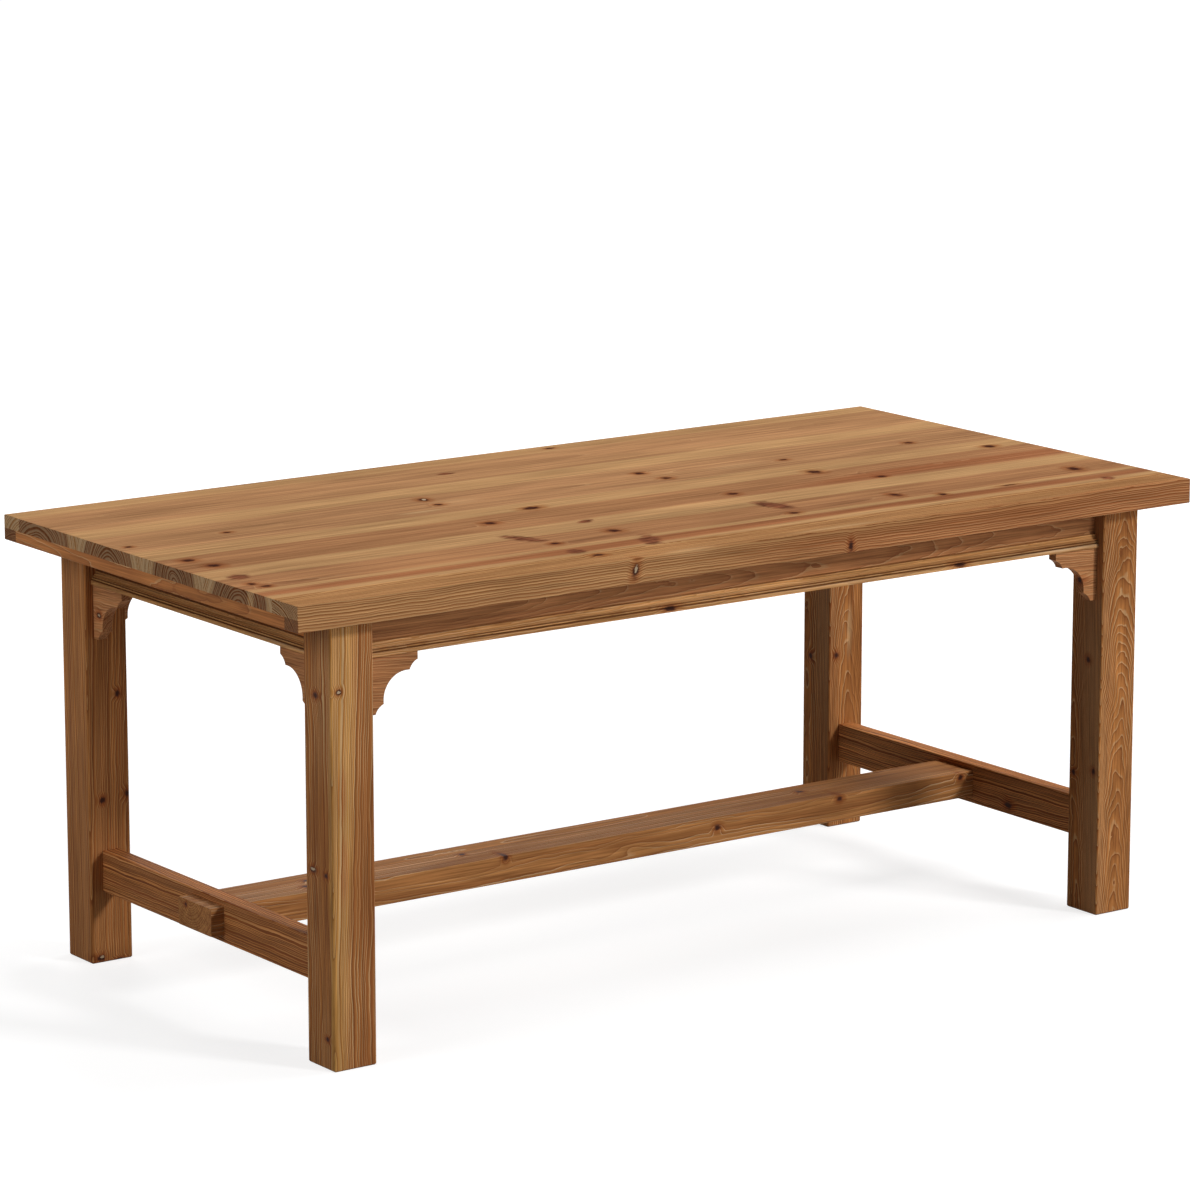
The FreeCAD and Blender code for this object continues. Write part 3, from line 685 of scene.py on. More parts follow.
    def relief(self) -> Socket:
        """Normal of the brushed surface, on which late wood and knots stand proud.

        Returns:
            Socket of the normal.
        """
        height = self.scaled(self.fibre, self.FIBRE_RISE, self.product(self.late, self.LATE_RISE))
        height = self.scaled(self.pale, self.LIME_RISE, height)
        height = self.scaled(self.ease(self.knot, *Fade.KNOT_RISE), self.KNOT_RISE, height)
        node = self.add("ShaderNodeBump", self.given["Bump"], self.RELIEF_DEPTH)
        self.feed(node.inputs["Height"], height)
        return node.outputs["Normal"]


@dataclass(frozen=True)
class PineFinish:
    """Stained pine on one CAD node."""

    node: str
    cut: Cut
    stain: Stain
    spots: tuple[Spot, ...] = ()
    gloss: float = 0.025

    def distance(self, bench: NodeBench, place: Feed, kind: Mark) -> Feed:
        """Distance from the nearest mark of a kind, in that mark's own radii.

        Args:
            bench: adds the nodes.
            place: coordinates in the part's frame.
            kind: kind of mark.

        Returns:
            The distance's socket, or a plain number where there is no such mark.
        """
        nearest: Feed = NO_MARK
        for spot in self.spots:
            if spot.kind is kind:
                own = bench.mapping(place, spot.centre, spot.turn, spot.radii)
                nearest = bench.math("MINIMUM", bench.vector("LENGTH", own), nearest)
        return nearest

    def material(self, grain: PineGrain) -> bpy.types.Material:
        """Make the material.

        Args:
            grain: the shared grain group.

        Returns:
            A new material.
        """
        bench, material = NodeBench.for_material(f"pine_{self.node}")
        coordinates = bench.add("ShaderNodeTexCoord").outputs
        place = coordinates["Object"]
        turn = tuple(way + tilt for way, tilt in zip(self.cut.way.value, self.cut.tilt))
        values: dict[str, Feed] = {mark.value: self.distance(bench, place, mark) for mark in Mark}
        values["Grain"] = bench.mapping(place, self.cut.pith, turn, METRES)
        values["Facing"] = bench.mapping(coordinates["Normal"], ORIGIN, turn, METRES)
        for source in (self.cut, self.stain):
            named = {name.replace("_", " ").capitalize(): value for name, value in vars(source).items()}
            values |= {name: named[name] for name in (*grain.NUMBERS, *grain.COLOURS) if name in named}
        group = bench.add("ShaderNodeGroup", node_tree=grain.tree)
        for name, value in values.items():
            bench.feed(group.inputs[name], value)
        colour, roughness, normal = group.outputs
        bench.surface(Base_Color=colour, Roughness=roughness, Normal=normal, Specular_IOR_Level=self.gloss)
        return material

    def lay(self, grain: PineGrain) -> None:
        """Dress the node in this finish."""
        dress(self.node, self.material(grain))


@dataclass(frozen=True)
class ZincFinish:
    """Zinc-plated steel of screws, bolts, washers and nuts."""

    name: str = "zinc_plate"
    bright: Triple = (0.62, 0.62, 0.60)
    dull: Triple = (0.36, 0.36, 0.35)
    spangles: Triple = (420.0, 420.0, 420.0)
    roughness: float = 0.22
    spangle_roughness: float = 0.35

    def material(self) -> bpy.types.Material:
        """Make the material.

        Returns:
            A new material.
        """
        bench, material = NodeBench.for_material(self.name)
        place = bench.add("ShaderNodeTexCoord").outputs["Object"]
        spangle = bench.noise(place, self.spangles, detail=3.0)
        colour = bench.mix(bench.ease(spangle, *Fade.DULL_ZINC), self.bright, self.dull)
        roughness = bench.scaled(spangle, self.spangle_roughness, self.roughness)
        bench.surface(Base_Color=colour, Roughness=roughness, Metallic=1.0)
        return material


def dress(node: str, material: bpy.types.Material) -> None:
    """Give a CAD node its material.

    Args:
        node: name of the node.
        material: material to assign.
    """
    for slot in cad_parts[node].material_slots:
        slot.material = material
    log.info("%s dressed in %s", node, material.name)


@dataclass
class TableTop:
    """Six glued boards of the top, and the strips under its rim."""

    grain: PineGrain
    # The top boards' colours hold a painted sheen: they are lifted evenly and made bluer, since the boards
    # have no gloss of their own.
    stain: Stain = Stain(
        sap_light=(0.530, 0.305, 0.136), sap_dark=(0.405, 0.210, 0.092), heart_light=(0.450, 0.218, 0.096),
        heart_dark=(0.280, 0.124, 0.058), lime_share=0.20, ring_share=0.40, strand_share=2.4, bump=0.28,
    )
    pale_stain_and_sheen: Stain = replace(stain, heart_light=(0.480, 0.250, 0.113), heart_dark=(0.340, 0.165, 0.078))
    rim_stain: Stain = Stain(
        sap_light=(0.615, 0.330, 0.134), sap_dark=(0.285, 0.116, 0.043), lime_share=0.30, ring_share=1.0,
        strand_share=1.3, bump=0.6,
    )
    end_strip_stain: Stain = Stain(
        heart_light=(0.580, 0.235, 0.080), heart_dark=(0.320, 0.112, 0.038), lime_share=0.6,
    )
    front_cut: Cut = Cut(
        GrainWay.LENGTHWISE, (0.0, -0.365, 0.655), tilt=(0.0, 0.3, 0.0), ring_width=0.0028, heart_radius=0.0,
        wander=0.014, ripple=0.004, seed=1.0,
    )
    end_strip_cut: Cut = Cut(
        GrainWay.CROSSWISE, (0.845, 0.0, 0.722), tilt=(0.0, 0.6, 1.0), ring_width=0.0032, wander=0.035,
        ripple=0.005,
    )
    end_strip_seed: float = 8.45
    end_film: Triple = (0.0010, 2.0, 0.06)
    worn_depth: float = 0.009

    def boards(self) -> dict[int, Cut]:
        """How each board was sawn, by its number from the front."""
        hearts = {
            2: (-0.285, 0.715, 0.085), 3: (-0.085, 0.725, 0.067), 4: (0.111, 0.719, 0.083),
            5: (0.340, 0.695, 0.108), 6: (0.380, 0.700, 0.0),
        }
        cuts = {1: self.front_cut}
        for number, (y, z, radius) in hearts.items():
            cuts[number] = Cut(GrainWay.LENGTHWISE, (0.0, y, z), heart_radius=radius, seed=float(number))
        return cuts

    def marks(self, board: int) -> tuple[Spot, ...]:
        """Marks on a board's upper face.

        Args:
            board: the board's number from the front.

        Returns:
            The marks.
        """
        knot, spike, rub, red, swirl = Mark.KNOT, Mark.SPIKE, Mark.RUB, Mark.RED_STREAK, Mark.SWIRL
        rows = (
            (1, knot, -0.303, -0.394, 0.012, 0.008),
            (2, spike, -0.325, -0.216, 0.016, 0.042, 24.0), (2, spike, 0.175, -0.226, 0.019, 0.044, 12.0),
            (2, spike, -0.165, -0.343, 0.017, 0.04, -24.0), (2, spike, -0.855, -0.209, 0.018, 0.016, 20.0),
            (2, spike, -0.315, -0.35, 0.016, 0.015), (2, spike, 0.79, -0.364, 0.012, 0.014),
            (2, knot, -0.305, -0.279, 0.009, 0.008), (2, knot, -0.167, -0.249, 0.012, 0.013, 20.0),
            (2, knot, 0.163, -0.299, 0.011, 0.008), (2, knot, 0.397, -0.271, 0.009, 0.014, 10.0),
            (2, knot, 0.466, -0.314, 0.009, 0.009), (2, knot, 0.61, -0.315, 0.02, 0.004),
            (2, knot, 0.8, -0.264, 0.012, 0.016, -12.0), (2, knot, -0.867, -0.266, 0.008, 0.008),
            (2, knot, -0.857, -0.292, 0.009, 0.008), (2, Mark.SAP_STREAK, 0.0, -0.314, 1.6, 0.0105, 0.15),
            (2, red, 0.0, -0.343, 1.7, 0.019, 0.15),
            (3, knot, -0.165, -0.012, 0.018, 0.012, 10.0), (3, knot, 0.418, -0.027, 0.014, 0.014),
            (3, knot, 0.822, -0.011, 0.013, 0.013), (3, knot, -0.853, -0.054, 0.012, 0.011),
            (3, knot, -0.84, -0.112, 0.013, 0.012), (3, knot, -0.295, -0.079, 0.013, 0.011),
            (3, knot, 0.182, -0.106, 0.011, 0.01), (3, knot, 0.484, -0.127, 0.01, 0.01, 30.0),
            (3, spike, -0.158, -0.156, 0.018, 0.01, 25.0), (3, red, 0.72, -0.11, 0.45, 0.03),
            (3, swirl, 0.465, -0.08, 0.018, 0.014),
            (4, knot, -0.27, 0.153, 0.01, 0.013, -20.0),
            (4, Mark.SPECK, -0.268, 0.154, 0.0035, 0.007, -20.0),
            (4, knot, -0.273, 0.104, 0.01, 0.007), (4, knot, -0.683, 0.104, 0.008, 0.006),
            (4, knot, -0.873, 0.093, 0.007, 0.006), (4, knot, 0.165, 0.137, 0.011, 0.01),
            (4, knot, 0.177, 0.076, 0.011, 0.009), (4, knot, 0.445, 0.097, 0.01, 0.006),
            (4, knot, 0.728, 0.1, 0.01, 0.008), (4, rub, -0.235, 0.108, 0.055, 0.02),
            (4, rub, -0.33, 0.066, 0.05, 0.012), (4, rub, 0.34, 0.1, 0.07, 0.022),
            (5, spike, -0.107, 0.329, 0.016, 0.008), (5, swirl, 0.395, 0.275, 0.022, 0.018),
            (6, knot, 0.18, 0.426, 0.01, 0.006),
        )
        return tuple(Spot.on_top(kind, *row) for number, kind, *row in rows if number == board)

    def rim_marks(self) -> tuple[Spot, ...]:
        """Marks of the front board's rim, and the places where its upper edge is worn.

        Returns:
            The marks.
        """
        on_rim = (
            (Mark.KNOT, -0.271, 0.735, 0.007, 0.0125, 16.0),
            (Mark.SPECK, -0.2702, 0.7372, 0.003, 0.0062, 16.0),
            (Mark.KNOT, 0.162, 0.7245, 0.0052, 0.01),
            (Mark.RED_STREAK, 0.65, 0.725, 0.75, 0.04),
        )
        worn = ((-0.160, -0.447, 0.060, 0.014), (0.150, -0.435, 0.110, 0.016), (0.620, -0.445, 0.090, 0.014))
        return (
            *(Spot.on_face(kind, "top_board_1", Side.FRONT, *row) for kind, *row in on_rim),
            *(Spot(Mark.RUB, (x, y, TOP_HEIGHT), (*spread, self.worn_depth)) for x, y, *spread in worn),
        )

    def build(self) -> None:
        """Dress the boards and the strips."""
        front_marks = (*self.marks(1), *self.rim_marks())
        stains = {1: self.rim_stain, 4: self.pale_stain_and_sheen, 5: self.pale_stain_and_sheen}
        for number, cut in self.boards().items():
            stain = stains.get(number, self.stain)
            marks = front_marks if number == 1 else self.marks(number)
            # The top's boards get no gloss; the sheen of boards 2 to 6 is painted into their colours instead.
            PineFinish(f"top_board_{number}", cut, stain, marks, gloss=0.0).lay(self.grain)
        self.long_strips(front_marks)
        for side, right in ((Side.LEFT, -1.0), (Side.RIGHT, 1.0)):
            cut = self.end_strip_cut.mirrored(right, 1.0, right * self.end_strip_seed)
            PineFinish(f"edge_strip_{side.value}", cut, self.end_strip_stain).lay(self.grain)

    def long_strips(self, front_marks: tuple[Spot, ...]) -> None:
        """Dress the strips along the front and the back, with stain gathered on their ends.

        Args:
            front_marks: marks of the front board, which go on into the strip under it.
        """
        stain = replace(self.rim_stain, end_shade=0.2)
        back_cut = replace(self.front_cut, pith=(0.0, 0.40, 0.63), seed=8.0)
        for side, cut, spots in ((Side.FRONT, self.front_cut, front_marks), (Side.BACK, back_cut, ())):
            node = f"edge_strip_{side.value}"
            height = middle(node).z
            ends = tuple(Spot(Mark.GLAZE, (end.x, 0.0, height), self.end_film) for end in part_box(node))
            PineFinish(node, cut, stain, (*spots, *ends)).lay(self.grain)


@dataclass
class Legs:
    """Four square legs."""

    grain: PineGrain
    stain: Stain = Stain(
        sap_light=(0.620, 0.315, 0.088), heart_light=(0.495, 0.200, 0.059), ring_share=0.75,
    )
    cut: Cut = Cut(GrainWay.UPRIGHT, ORIGIN, wander=0.030, ripple=0.005)
    limes: ClassVar[dict[str, float]] = {
        "front_left": 0.85, "front_right": 0.55, "back_left": 0.35, "back_right": 0.65,
    }

    def cuts(self) -> dict[str, Cut]:
        """How each leg was sawn, by its corner."""
        plain = replace(self.cut, tilt=(0.0, 1.0, 0.0))
        front_right = replace(self.cut, tilt=(0.0, 3.0, 75.0), wander=0.022)
        back_right = replace(self.cut, tilt=(0.0, 2.6, 75.0), wander=0.025)
        return {
            "front_left": replace(plain, pith=(-0.690, -0.290, 0.37), ring_width=0.0027, seed=11.0),
            "front_right": replace(front_right, pith=(0.787, -0.340, 0.37), ring_width=0.0015, seed=12.0),
            "back_left": replace(plain, pith=(-0.700, 0.455, 0.37), ring_width=0.0024, seed=13.0),
            "back_right": replace(back_right, pith=(0.787, 0.405, 0.37), ring_width=0.0019, seed=14.0),
        }

    def marks(self, corner: str) -> tuple[Spot, ...]:
        """Marks of a leg.

        Args:
            corner: the leg's corner.

        Returns:
            The marks.
        """
        front, left, knot, speck, red = Side.FRONT, Side.LEFT, Mark.KNOT, Mark.SPECK, Mark.RED_STREAK
        rows = {
            "front_left": (
                (front, knot, -0.804, 0.603, 0.006, 0.005), (front, speck, -0.804, 0.603, 0.0035, 0.0022),
                (left, knot, -0.367, 0.592, 0.008, 0.0055), (left, knot, -0.355, 0.314, 0.01, 0.0055),
                (left, speck, -0.355, 0.3145, 0.0065, 0.0025), (left, knot, -0.392, 0.311, 0.006, 0.005),
                (left, knot, -0.392, 0.049, 0.006, 0.0042), (front, red, -0.8, 0.435, 0.01, 0.05),
                (front, red, -0.797, 0.32, 0.012, 0.07),
            ),
            "front_right": (
                (front, Mark.SWIRL, 0.758, 0.425, 0.014, 0.055), (left, knot, -0.379, 0.447, 0.006, 0.0065),
                (left, knot, -0.347, 0.242, 0.0055, 0.0055), (left, knot, -0.398, 0.253, 0.0055, 0.006),
            ),
            "back_left": (
                (front, knot, -0.76, 0.456, 0.0055, 0.006), (front, knot, -0.792, 0.278, 0.0065, 0.006),
                (front, knot, -0.745, 0.283, 0.006, 0.007), (front, knot, -0.802, 0.008, 0.009, 0.006),
                (front, speck, -0.799, 0.01, 0.0036, 0.0024), (front, knot, -0.766, 0.001, 0.008, 0.003),
            ),
            "back_right": (
                (front, knot, 0.756, 0.323, 0.0055, 0.0065), (front, Mark.RUB, 0.78, 0.37, 0.014, 0.06),
                (left, knot, 0.389, 0.314, 0.006, 0.007),
            ),
        }
        return tuple(Spot.on_face(kind, f"leg_{corner}", side, *row) for side, kind, *row in rows[corner])

    def build(self) -> None:
        """Dress the legs."""
        sapwood = Spot(Mark.SAP_STREAK, (-0.806, -0.412, 0.40), (0.027, 0.012, 0.9), (0.0, 1.6, 0.0))
        streaks = {"front_left": (sapwood,)}
        for corner, cut in self.cuts().items():
            stain = replace(self.stain, lime_share=self.limes[corner])
            spots = (*streaks.get(corner, ()), *self.marks(corner))
            PineFinish(f"leg_{corner}", cut, stain, spots).lay(self.grain)


@dataclass
class Aprons:
    """Four aprons, each with a moulding along its lower edge, and the shaped brackets under them."""

    grain: PineGrain
    stain: Stain = Stain(
        heart_light=(0.560, 0.250, 0.100), heart_dark=(0.305, 0.118, 0.046), lime_share=0.35, end_shade=0.3,
    )
    # The end aprons' stain is lighter and redder: partly their colour, partly painted light that makes up for
    # the shade the top's overhang casts on them.
    end_stain: Stain = replace(stain, heart_light=(0.740, 0.285, 0.086), heart_dark=(0.400, 0.136, 0.042))
    moulding_stain: Stain = Stain(
        heart_light=(0.670, 0.346, 0.126), heart_dark=(0.420, 0.190, 0.066), lime=(0.800, 0.600, 0.380),
        lime_share=0.25, strand_share=2.4,
    )
    long_cut: Cut = Cut(
        GrainWay.LENGTHWISE, ORIGIN, tilt=(0.0, 0.4, 0.9), ring_width=0.0027, wander=0.040, seed=21.0,
    )
    end_cut: Cut = Cut(
        GrainWay.CROSSWISE, ORIGIN, tilt=(0.0, 0.6, 1.5), ring_width=0.0032, wander=0.055, seed=24.0,
    )
    bracket_cut: Cut = Cut(
        GrainWay.LENGTHWISE, (0.70, 0.3483, 0.53), tilt=(0.0, 4.0, 2.0), ring_width=0.0040, wander=0.03,
        ripple=0.010, seed=30.0,
    )
    bracket_end_cut: Cut = replace(
        bracket_cut, way=GrainWay.CROSSWISE, pith=(0.735, 0.29025, 0.53), seed=30.5,
    )
    pith_depth: float = 0.045
    pith_height: float = 0.690
    groove_shade_width: float = 0.0011
    lip_height: float = 0.651
    # Heights of the painted shade lines in the moulding's quirks.
    GROOVES: ClassVar[Triple] = (0.6534, 0.6576, 0.6687)
    FRONT_KNOTS: ClassVar[tuple[float, float]] = (-0.165, 0.435)

    def bracket_marks(self) -> dict[str, tuple[Spot, ...]]:
        """Marks of the brackets that have some."""
        back = "bracket_back_left_end"
        return {
            back: (
                Spot.on_face(Mark.KNOT, back, Side.LEFT, 0.316, 0.596, 0.0075, 0.0050),
                Spot.on_face(Mark.SPECK, back, Side.LEFT, 0.316, 0.596, 0.0040, 0.0026),
            ),
            "bracket_front_right_long": (Spot(Mark.KNOT, (0.709, -0.389, 0.591), (0.010, 0.006, 0.007)),),
        }

    def build(self) -> None:
        """Dress the aprons, mouldings and brackets."""
        for number, side in enumerate(Side):
            cut, stain = (self.long_cut, self.stain) if side.is_long else (self.end_cut, self.end_stain)
            self.side(side, replace(cut, seed=cut.seed + number % 2), stain)
        self.brackets()

    def side(self, side: Side, cut: Cut, stain: Stain) -> None:
        """Dress one apron and its moulding, sawn with the pith behind the apron.

        Args:
            side: side of the table.
            cut: how the apron was sawn, but for the place of the pith.
            stain: stain of the apron.
        """
        apron = f"apron_{side.value}"
        centre = middle(apron)
        outward = Vector((centre.x, centre.y, 0.0)).normalized()
        behind = centre - outward * self.pith_depth
        cut = replace(cut, pith=(behind.x, behind.y, self.pith_height))
        PineFinish(apron, cut, stain).lay(self.grain)
        moulding = replace(cut, ripple=0.008, seed=cut.seed + 0.5)
        node = f"apron_moulding_{side.value}"
        PineFinish(node, moulding, self.moulding_stain, self.moulding_marks(side, node)).lay(self.grain)

    def moulding_marks(self, side: Side, node: str) -> tuple[Spot, ...]:
        """Painted shade along each groove of a moulding, its worn lip, which also paints a highlight, and
        knots on the front one.

        Args:
            side: side of the table.
            node: name of the moulding.

        Returns:
            The marks.
        """
        low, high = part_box(node)
        centre = middle(node)
        reach = (2.0, 0.5, self.groove_shade_width) if side.is_long else (0.5, 2.0, self.groove_shade_width)
        # Dark glaze lines in each groove: painted shade of the quirks.
        groove_shade = tuple(Spot(Mark.GLAZE, (centre.x, centre.y, height), reach) for height in self.GROOVES)
        outer = {Side.FRONT: low.y, Side.BACK: high.y, Side.LEFT: low.x, Side.RIGHT: high.x}[side]
        # The pale band on the moulding's lower edge, on its right or front half towards the key lamp, is
        # partly wear and partly a painted highlight.
        if side.is_long:
            lip = Spot(Mark.RUB, (0.5, outer, self.lip_height), (0.5, 0.004, 0.005))
        else:
            lip = Spot(Mark.RUB, (outer, -0.3, self.lip_height), (0.004, 0.3, 0.005))
        places = self.FRONT_KNOTS if side is Side.FRONT else ()
        knots = tuple(Spot.on_face(Mark.KNOT, node, side, x, 0.652, 0.014, 0.0045) for x in places)
        return (*groove_shade, lip, *knots)

    def brackets(self) -> None:
        """Dress the eight brackets."""
        marks = self.bracket_marks()
        step = 0.0
        for right, end in ((-1.0, Side.LEFT), (1.0, Side.RIGHT)):
            for back, side in ((-1.0, Side.FRONT), (1.0, Side.BACK)):
                for kind, cut in (("long", self.bracket_cut), ("end", self.bracket_end_cut)):
                    node = f"bracket_{side.value}_{end.value}_{kind}"
                    own = cut.mirrored(right, back, step)
                    PineFinish(node, own, self.stain, marks.get(node, ())).lay(self.grain)
                step += 1.0


@dataclass
class Stretchers:
    """Two end stretchers and the centre stretcher between them."""

    grain: PineGrain
    stain: Stain = Stain(
        heart_light=(0.540, 0.245, 0.082), heart_dark=(0.270, 0.098, 0.032), lime=(0.660, 0.450, 0.250),
        lime_share=0.85, end_shade=0.1,
    )
    end_stain: Stain = Stain(
        heart_light=(0.720, 0.290, 0.088), heart_dark=(0.250, 0.080, 0.024), lime_share=0.3, ring_share=1.5,
        bump=0.9,
    )
    cut: Cut = Cut(
        GrainWay.LENGTHWISE, (0.0, 0.030, 0.205), tilt=(0.0, 0.3, 0.9), ring_width=0.0048, ripple=0.005,
        seed=41.0,
    )
    end_cut: Cut = Cut(
        GrainWay.CROSSWISE, (0.07, 0.0, 0.03), tilt=(0.0, 0.5, 0.8), ring_width=0.0028, wander=0.025,
        ripple=0.005, seed=43.0,
    )
    knot_depth: float = 0.02

    def marks(self, node: str) -> tuple[Spot, ...]:
        """Marks of the centre stretcher: on its front face, its upper face and its left end.

        Args:
            node: name of the stretcher.

        Returns:
            The marks.
        """
        knot, height = Mark.KNOT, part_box(node)[1].z
        front = (
            (knot, -0.246, 0.179, 0.006, 0.006), (knot, 0.195, 0.163, 0.007, 0.006),
            (knot, 0.462, 0.175, 0.0065, 0.006), (knot, 0.735, 0.173, 0.006, 0.0055),
            (Mark.SWIRL, 0.02, 0.158, 0.05, 0.014),
        )
        upper = (
            (-0.3, 0.0, 0.007, 0.006), (-0.62, -0.02, 0.008, 0.007),
            (-0.6, 0.01, 0.007, 0.006), (0.42, 0.01, 0.008, 0.007),
        )
        return (
            *(Spot.on_face(kind, node, Side.FRONT, *row) for kind, *row in front),
            *(Spot(knot, (x, y, height), (*spread, self.knot_depth)) for x, y, *spread in upper),
            Spot.on_face(knot, node, Side.LEFT, 0.028, 0.172, 0.004, 0.004),
        )

    def build(self) -> None:
        """Dress the stretchers."""
        centre = "centre_stretcher"
        PineFinish(centre, self.cut, self.stain, self.marks(centre)).lay(self.grain)
        right = "end_stretcher_right"
        marks = {right: (Spot.on_face(Mark.KNOT, right, Side.LEFT, -0.147, 0.138, 0.0100, 0.0070),)}
        aside, y, z = self.end_cut.pith
        for number, node in enumerate(("end_stretcher_left", right)):
            cut = replace(self.end_cut, pith=(middle(node).x + aside, y, z), seed=self.end_cut.seed + number)
            PineFinish(node, cut, self.end_stain, marks.get(node, ())).lay(self.grain)


@dataclass
class UnderTop:
    """Battens, corner blocks, buttons, dowels and steel that hold the table together."""

    grain: PineGrain
    stain: Stain = Stain(
        sap_light=(0.60, 0.42, 0.23), sap_dark=(0.47, 0.28, 0.12), heart_light=(0.52, 0.32, 0.15),
        heart_dark=(0.40, 0.21, 0.09), lime_share=0.0, ring_share=0.6, end_shade=0.35,
    )
    batten_cut: Cut = Cut(
        GrainWay.CROSSWISE, (0.40, 0.0, 0.66), tilt=(0.0, 1.0, 1.5), ring_width=0.0050,
        heart_radius=0.05, seed=51.0,
    )
    block_cut: Cut = Cut(
        GrainWay.UPRIGHT, (0.72, 0.31, 0.70), tilt=(0.0, 2.0, 0.0), ring_width=0.0045,
        heart_radius=0.03, seed=53.0,
    )
    small_cut: Cut = Cut(
        GrainWay.LENGTHWISE, (0.0, 0.0, 0.64), tilt=(0.0, 1.0, 1.0), ring_width=0.0040,
        heart_radius=0.0, seed=57.0,
    )
    small: tuple[str, ...] = ("top_buttons", "bracket_dowels")
    steel: tuple[str, ...] = (
        "batten_screws", "button_screws", "corner_block_screws", "stretcher_screws", "hanger_bolts",
        "hanger_washers", "hanger_nuts",
    )

    def build(self) -> None:
        """Dress the hidden pieces."""
        for number, (side, right) in enumerate(((Side.LEFT, -1.0), (Side.RIGHT, 1.0))):
            cut = self.batten_cut.mirrored(right, 1.0, number)
            PineFinish(f"cross_batten_{side.value}", cut, self.stain).lay(self.grain)
            for end, back in ((Side.FRONT, -1.0), (Side.BACK, 1.0)):
                cut = self.block_cut.mirrored(right, back, number + back * self.block_cut.pith[1])
                PineFinish(f"corner_block_{end.value}_{side.value}", cut, self.stain).lay(self.grain)
        for name in self.small:
            PineFinish(name, self.small_cut, self.stain).lay(self.grain)
        zinc = ZincFinish().material()
        for name in self.steel:
            dress(name, zinc)


@dataclass(frozen=True)
class Lamp:
    """Square soft lamp, in degrees, metres and watts."""

    name: str
    azimuth: float
    elevation: float
    distance: float
    side: float
    watts: float


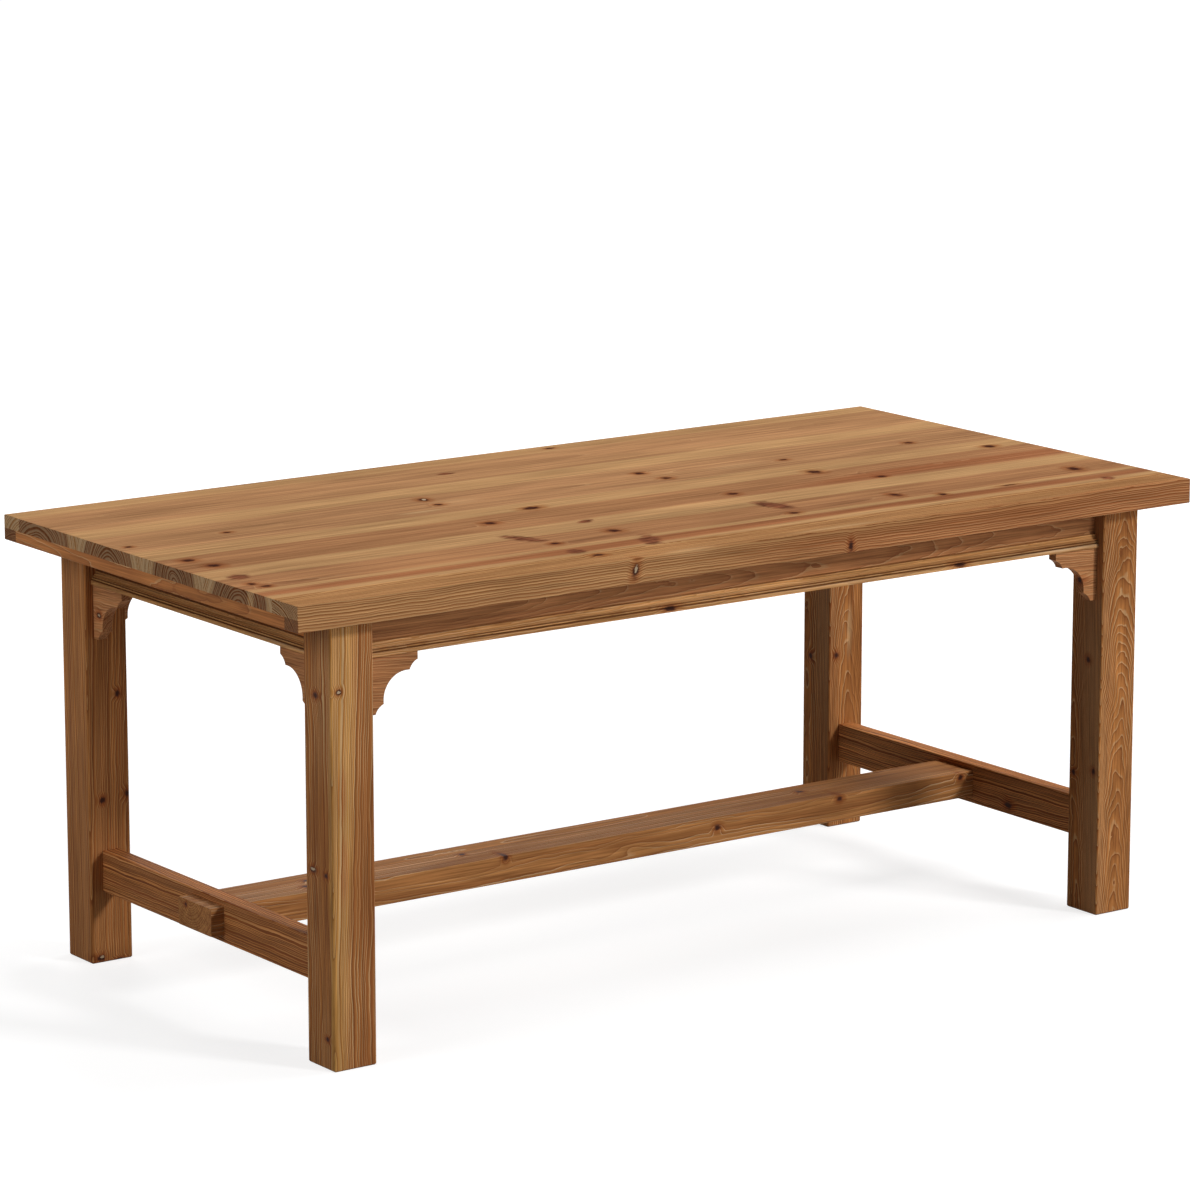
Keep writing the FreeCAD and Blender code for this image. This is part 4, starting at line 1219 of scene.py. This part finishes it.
@dataclass
class Studio:
    """Pale floor, soft lamps and the camera."""

    floor_side: float = 120.0
    floor_grey: float = 0.40
    near_glow: float = 0.78
    far_glow: float = 1.0
    glow_start: float = 1.5
    glow_end: float = 4.5
    ambient: float = 0.02
    white: Triple = (1.0, 1.0, 1.0)
    aim: Triple = (0.0, 0.0235, 0.573)
    azimuth: float = -35.70
    elevation: float = 11.95
    distance: float = 8.5
    lens: float = 151.2
    lamps: tuple[Lamp, ...] = (
        Lamp("key_lamp", 30.0, 28.0, 20.0, 3.0, 1740.0),
        Lamp("front_lamp", 20.0, 8.0, 20.0, 9.0, 930.0),
        Lamp("left_lamp", -90.0, 26.0, 6.0, 2.7, 98.0),
        Lamp("back_lamp", 165.0, 32.0, 10.0, 4.5, 260.0),
        Lamp("top_lamp", 90.0, 62.0, 8.0, 5.0, 380.0),
    )

    def build(self) -> None:
        """Make the whole studio."""
        self.floor()
        self.world()
        for lamp in self.lamps:
            data = bpy.data.lights.new(lamp.name, "AREA")
            data.size, data.energy = lamp.side, lamp.watts
            self.stand(data, lamp.azimuth, lamp.elevation, lamp.distance)
        camera = bpy.data.cameras.new("camera")
        camera.lens = self.lens
        bpy.context.scene.camera = self.stand(camera, self.azimuth, self.elevation, self.distance)
        bpy.context.scene.view_settings.view_transform = "Standard"

    def stand(
        self, data: bpy.types.ID, azimuth: float, elevation: float, distance: float,
    ) -> bpy.types.Object:
        """Stand a lamp or the camera so that it faces the table.

        Args:
            data: lamp or camera.
            azimuth: angle from the front to the right, in degrees.
            elevation: angle above the horizon, in degrees.
            distance: metres from the aim point.

        Returns:
            The new object.
        """
        turn, rise = math.radians(azimuth), math.radians(elevation)
        way = Vector((math.sin(turn) * math.cos(rise), -math.cos(turn) * math.cos(rise), math.sin(rise)))
        thing = bpy.data.objects.new(data.name, data)
        thing.location = Vector(self.aim) + way * distance
        thing.rotation_euler = (-way).to_track_quat("-Z", "Y").to_euler()
        bpy.context.scene.collection.objects.link(thing)
        return thing

    def seen(self, bench: NodeBench) -> Socket:
        """1 for rays that see a surface directly or by reflection, and 0 for rays that light it.

        Args:
            bench: adds the nodes.

        Returns:
            The result's socket.
        """
        path = bench.add("ShaderNodeLightPath").outputs
        mirrored = bench.math("MAXIMUM", path["Is Glossy Ray"], path["Is Transmission Ray"])
        return bench.math("MAXIMUM", path["Is Camera Ray"], mirrored)

    def floor(self) -> None:
        """Lay a pale floor that keeps the table's shadow."""
        bpy.ops.object.select_all(action="DESELECT")
        bpy.ops.mesh.primitive_plane_add(size=self.floor_side)
        floor = bpy.context.active_object
        floor.name = "floor"
        bench, material = NodeBench.for_material("pale_floor")
        matt = bench.add("ShaderNodeBsdfDiffuse", (self.floor_grey,) * 3)
        away = bench.vector("LENGTH", bench.add("ShaderNodeTexCoord").outputs["Object"])
        far = bench.ease(away, self.glow_start, self.glow_end)
        level = bench.scaled(far, self.far_glow - self.near_glow, self.near_glow)
        glow = bench.add("ShaderNodeEmission", self.white, bench.product(self.seen(bench), level))
        both = bench.add("ShaderNodeAddShader", matt.outputs["BSDF"], glow.outputs["Emission"])
        bench.add("ShaderNodeOutputMaterial", both.outputs["Shader"])
        floor.data.materials.append(material)

    def world(self) -> None:
        """White surroundings that give a dim, even light."""
        world = bpy.data.worlds.new("white_room")
        world.use_nodes = True
        world.node_tree.nodes.clear()
        bench = NodeBench(world.node_tree)
        level = bench.scaled(self.seen(bench), 1.0 - self.ambient, self.ambient)
        back = bench.add("ShaderNodeBackground", self.white, level)
        bench.add("ShaderNodeOutputWorld", back.outputs["Background"])
        bpy.context.scene.world = world


def main() -> None:
    """Dress the table and build the studio."""
    logging.basicConfig(level=logging.INFO, format="%(name)s: %(message)s")
    grain = PineGrain()
    for assembly in (TableTop, Legs, Aprons, Stretchers, UnderTop):
        assembly(grain).build()
    Studio().build()


if __name__ == "__main__":
    main()
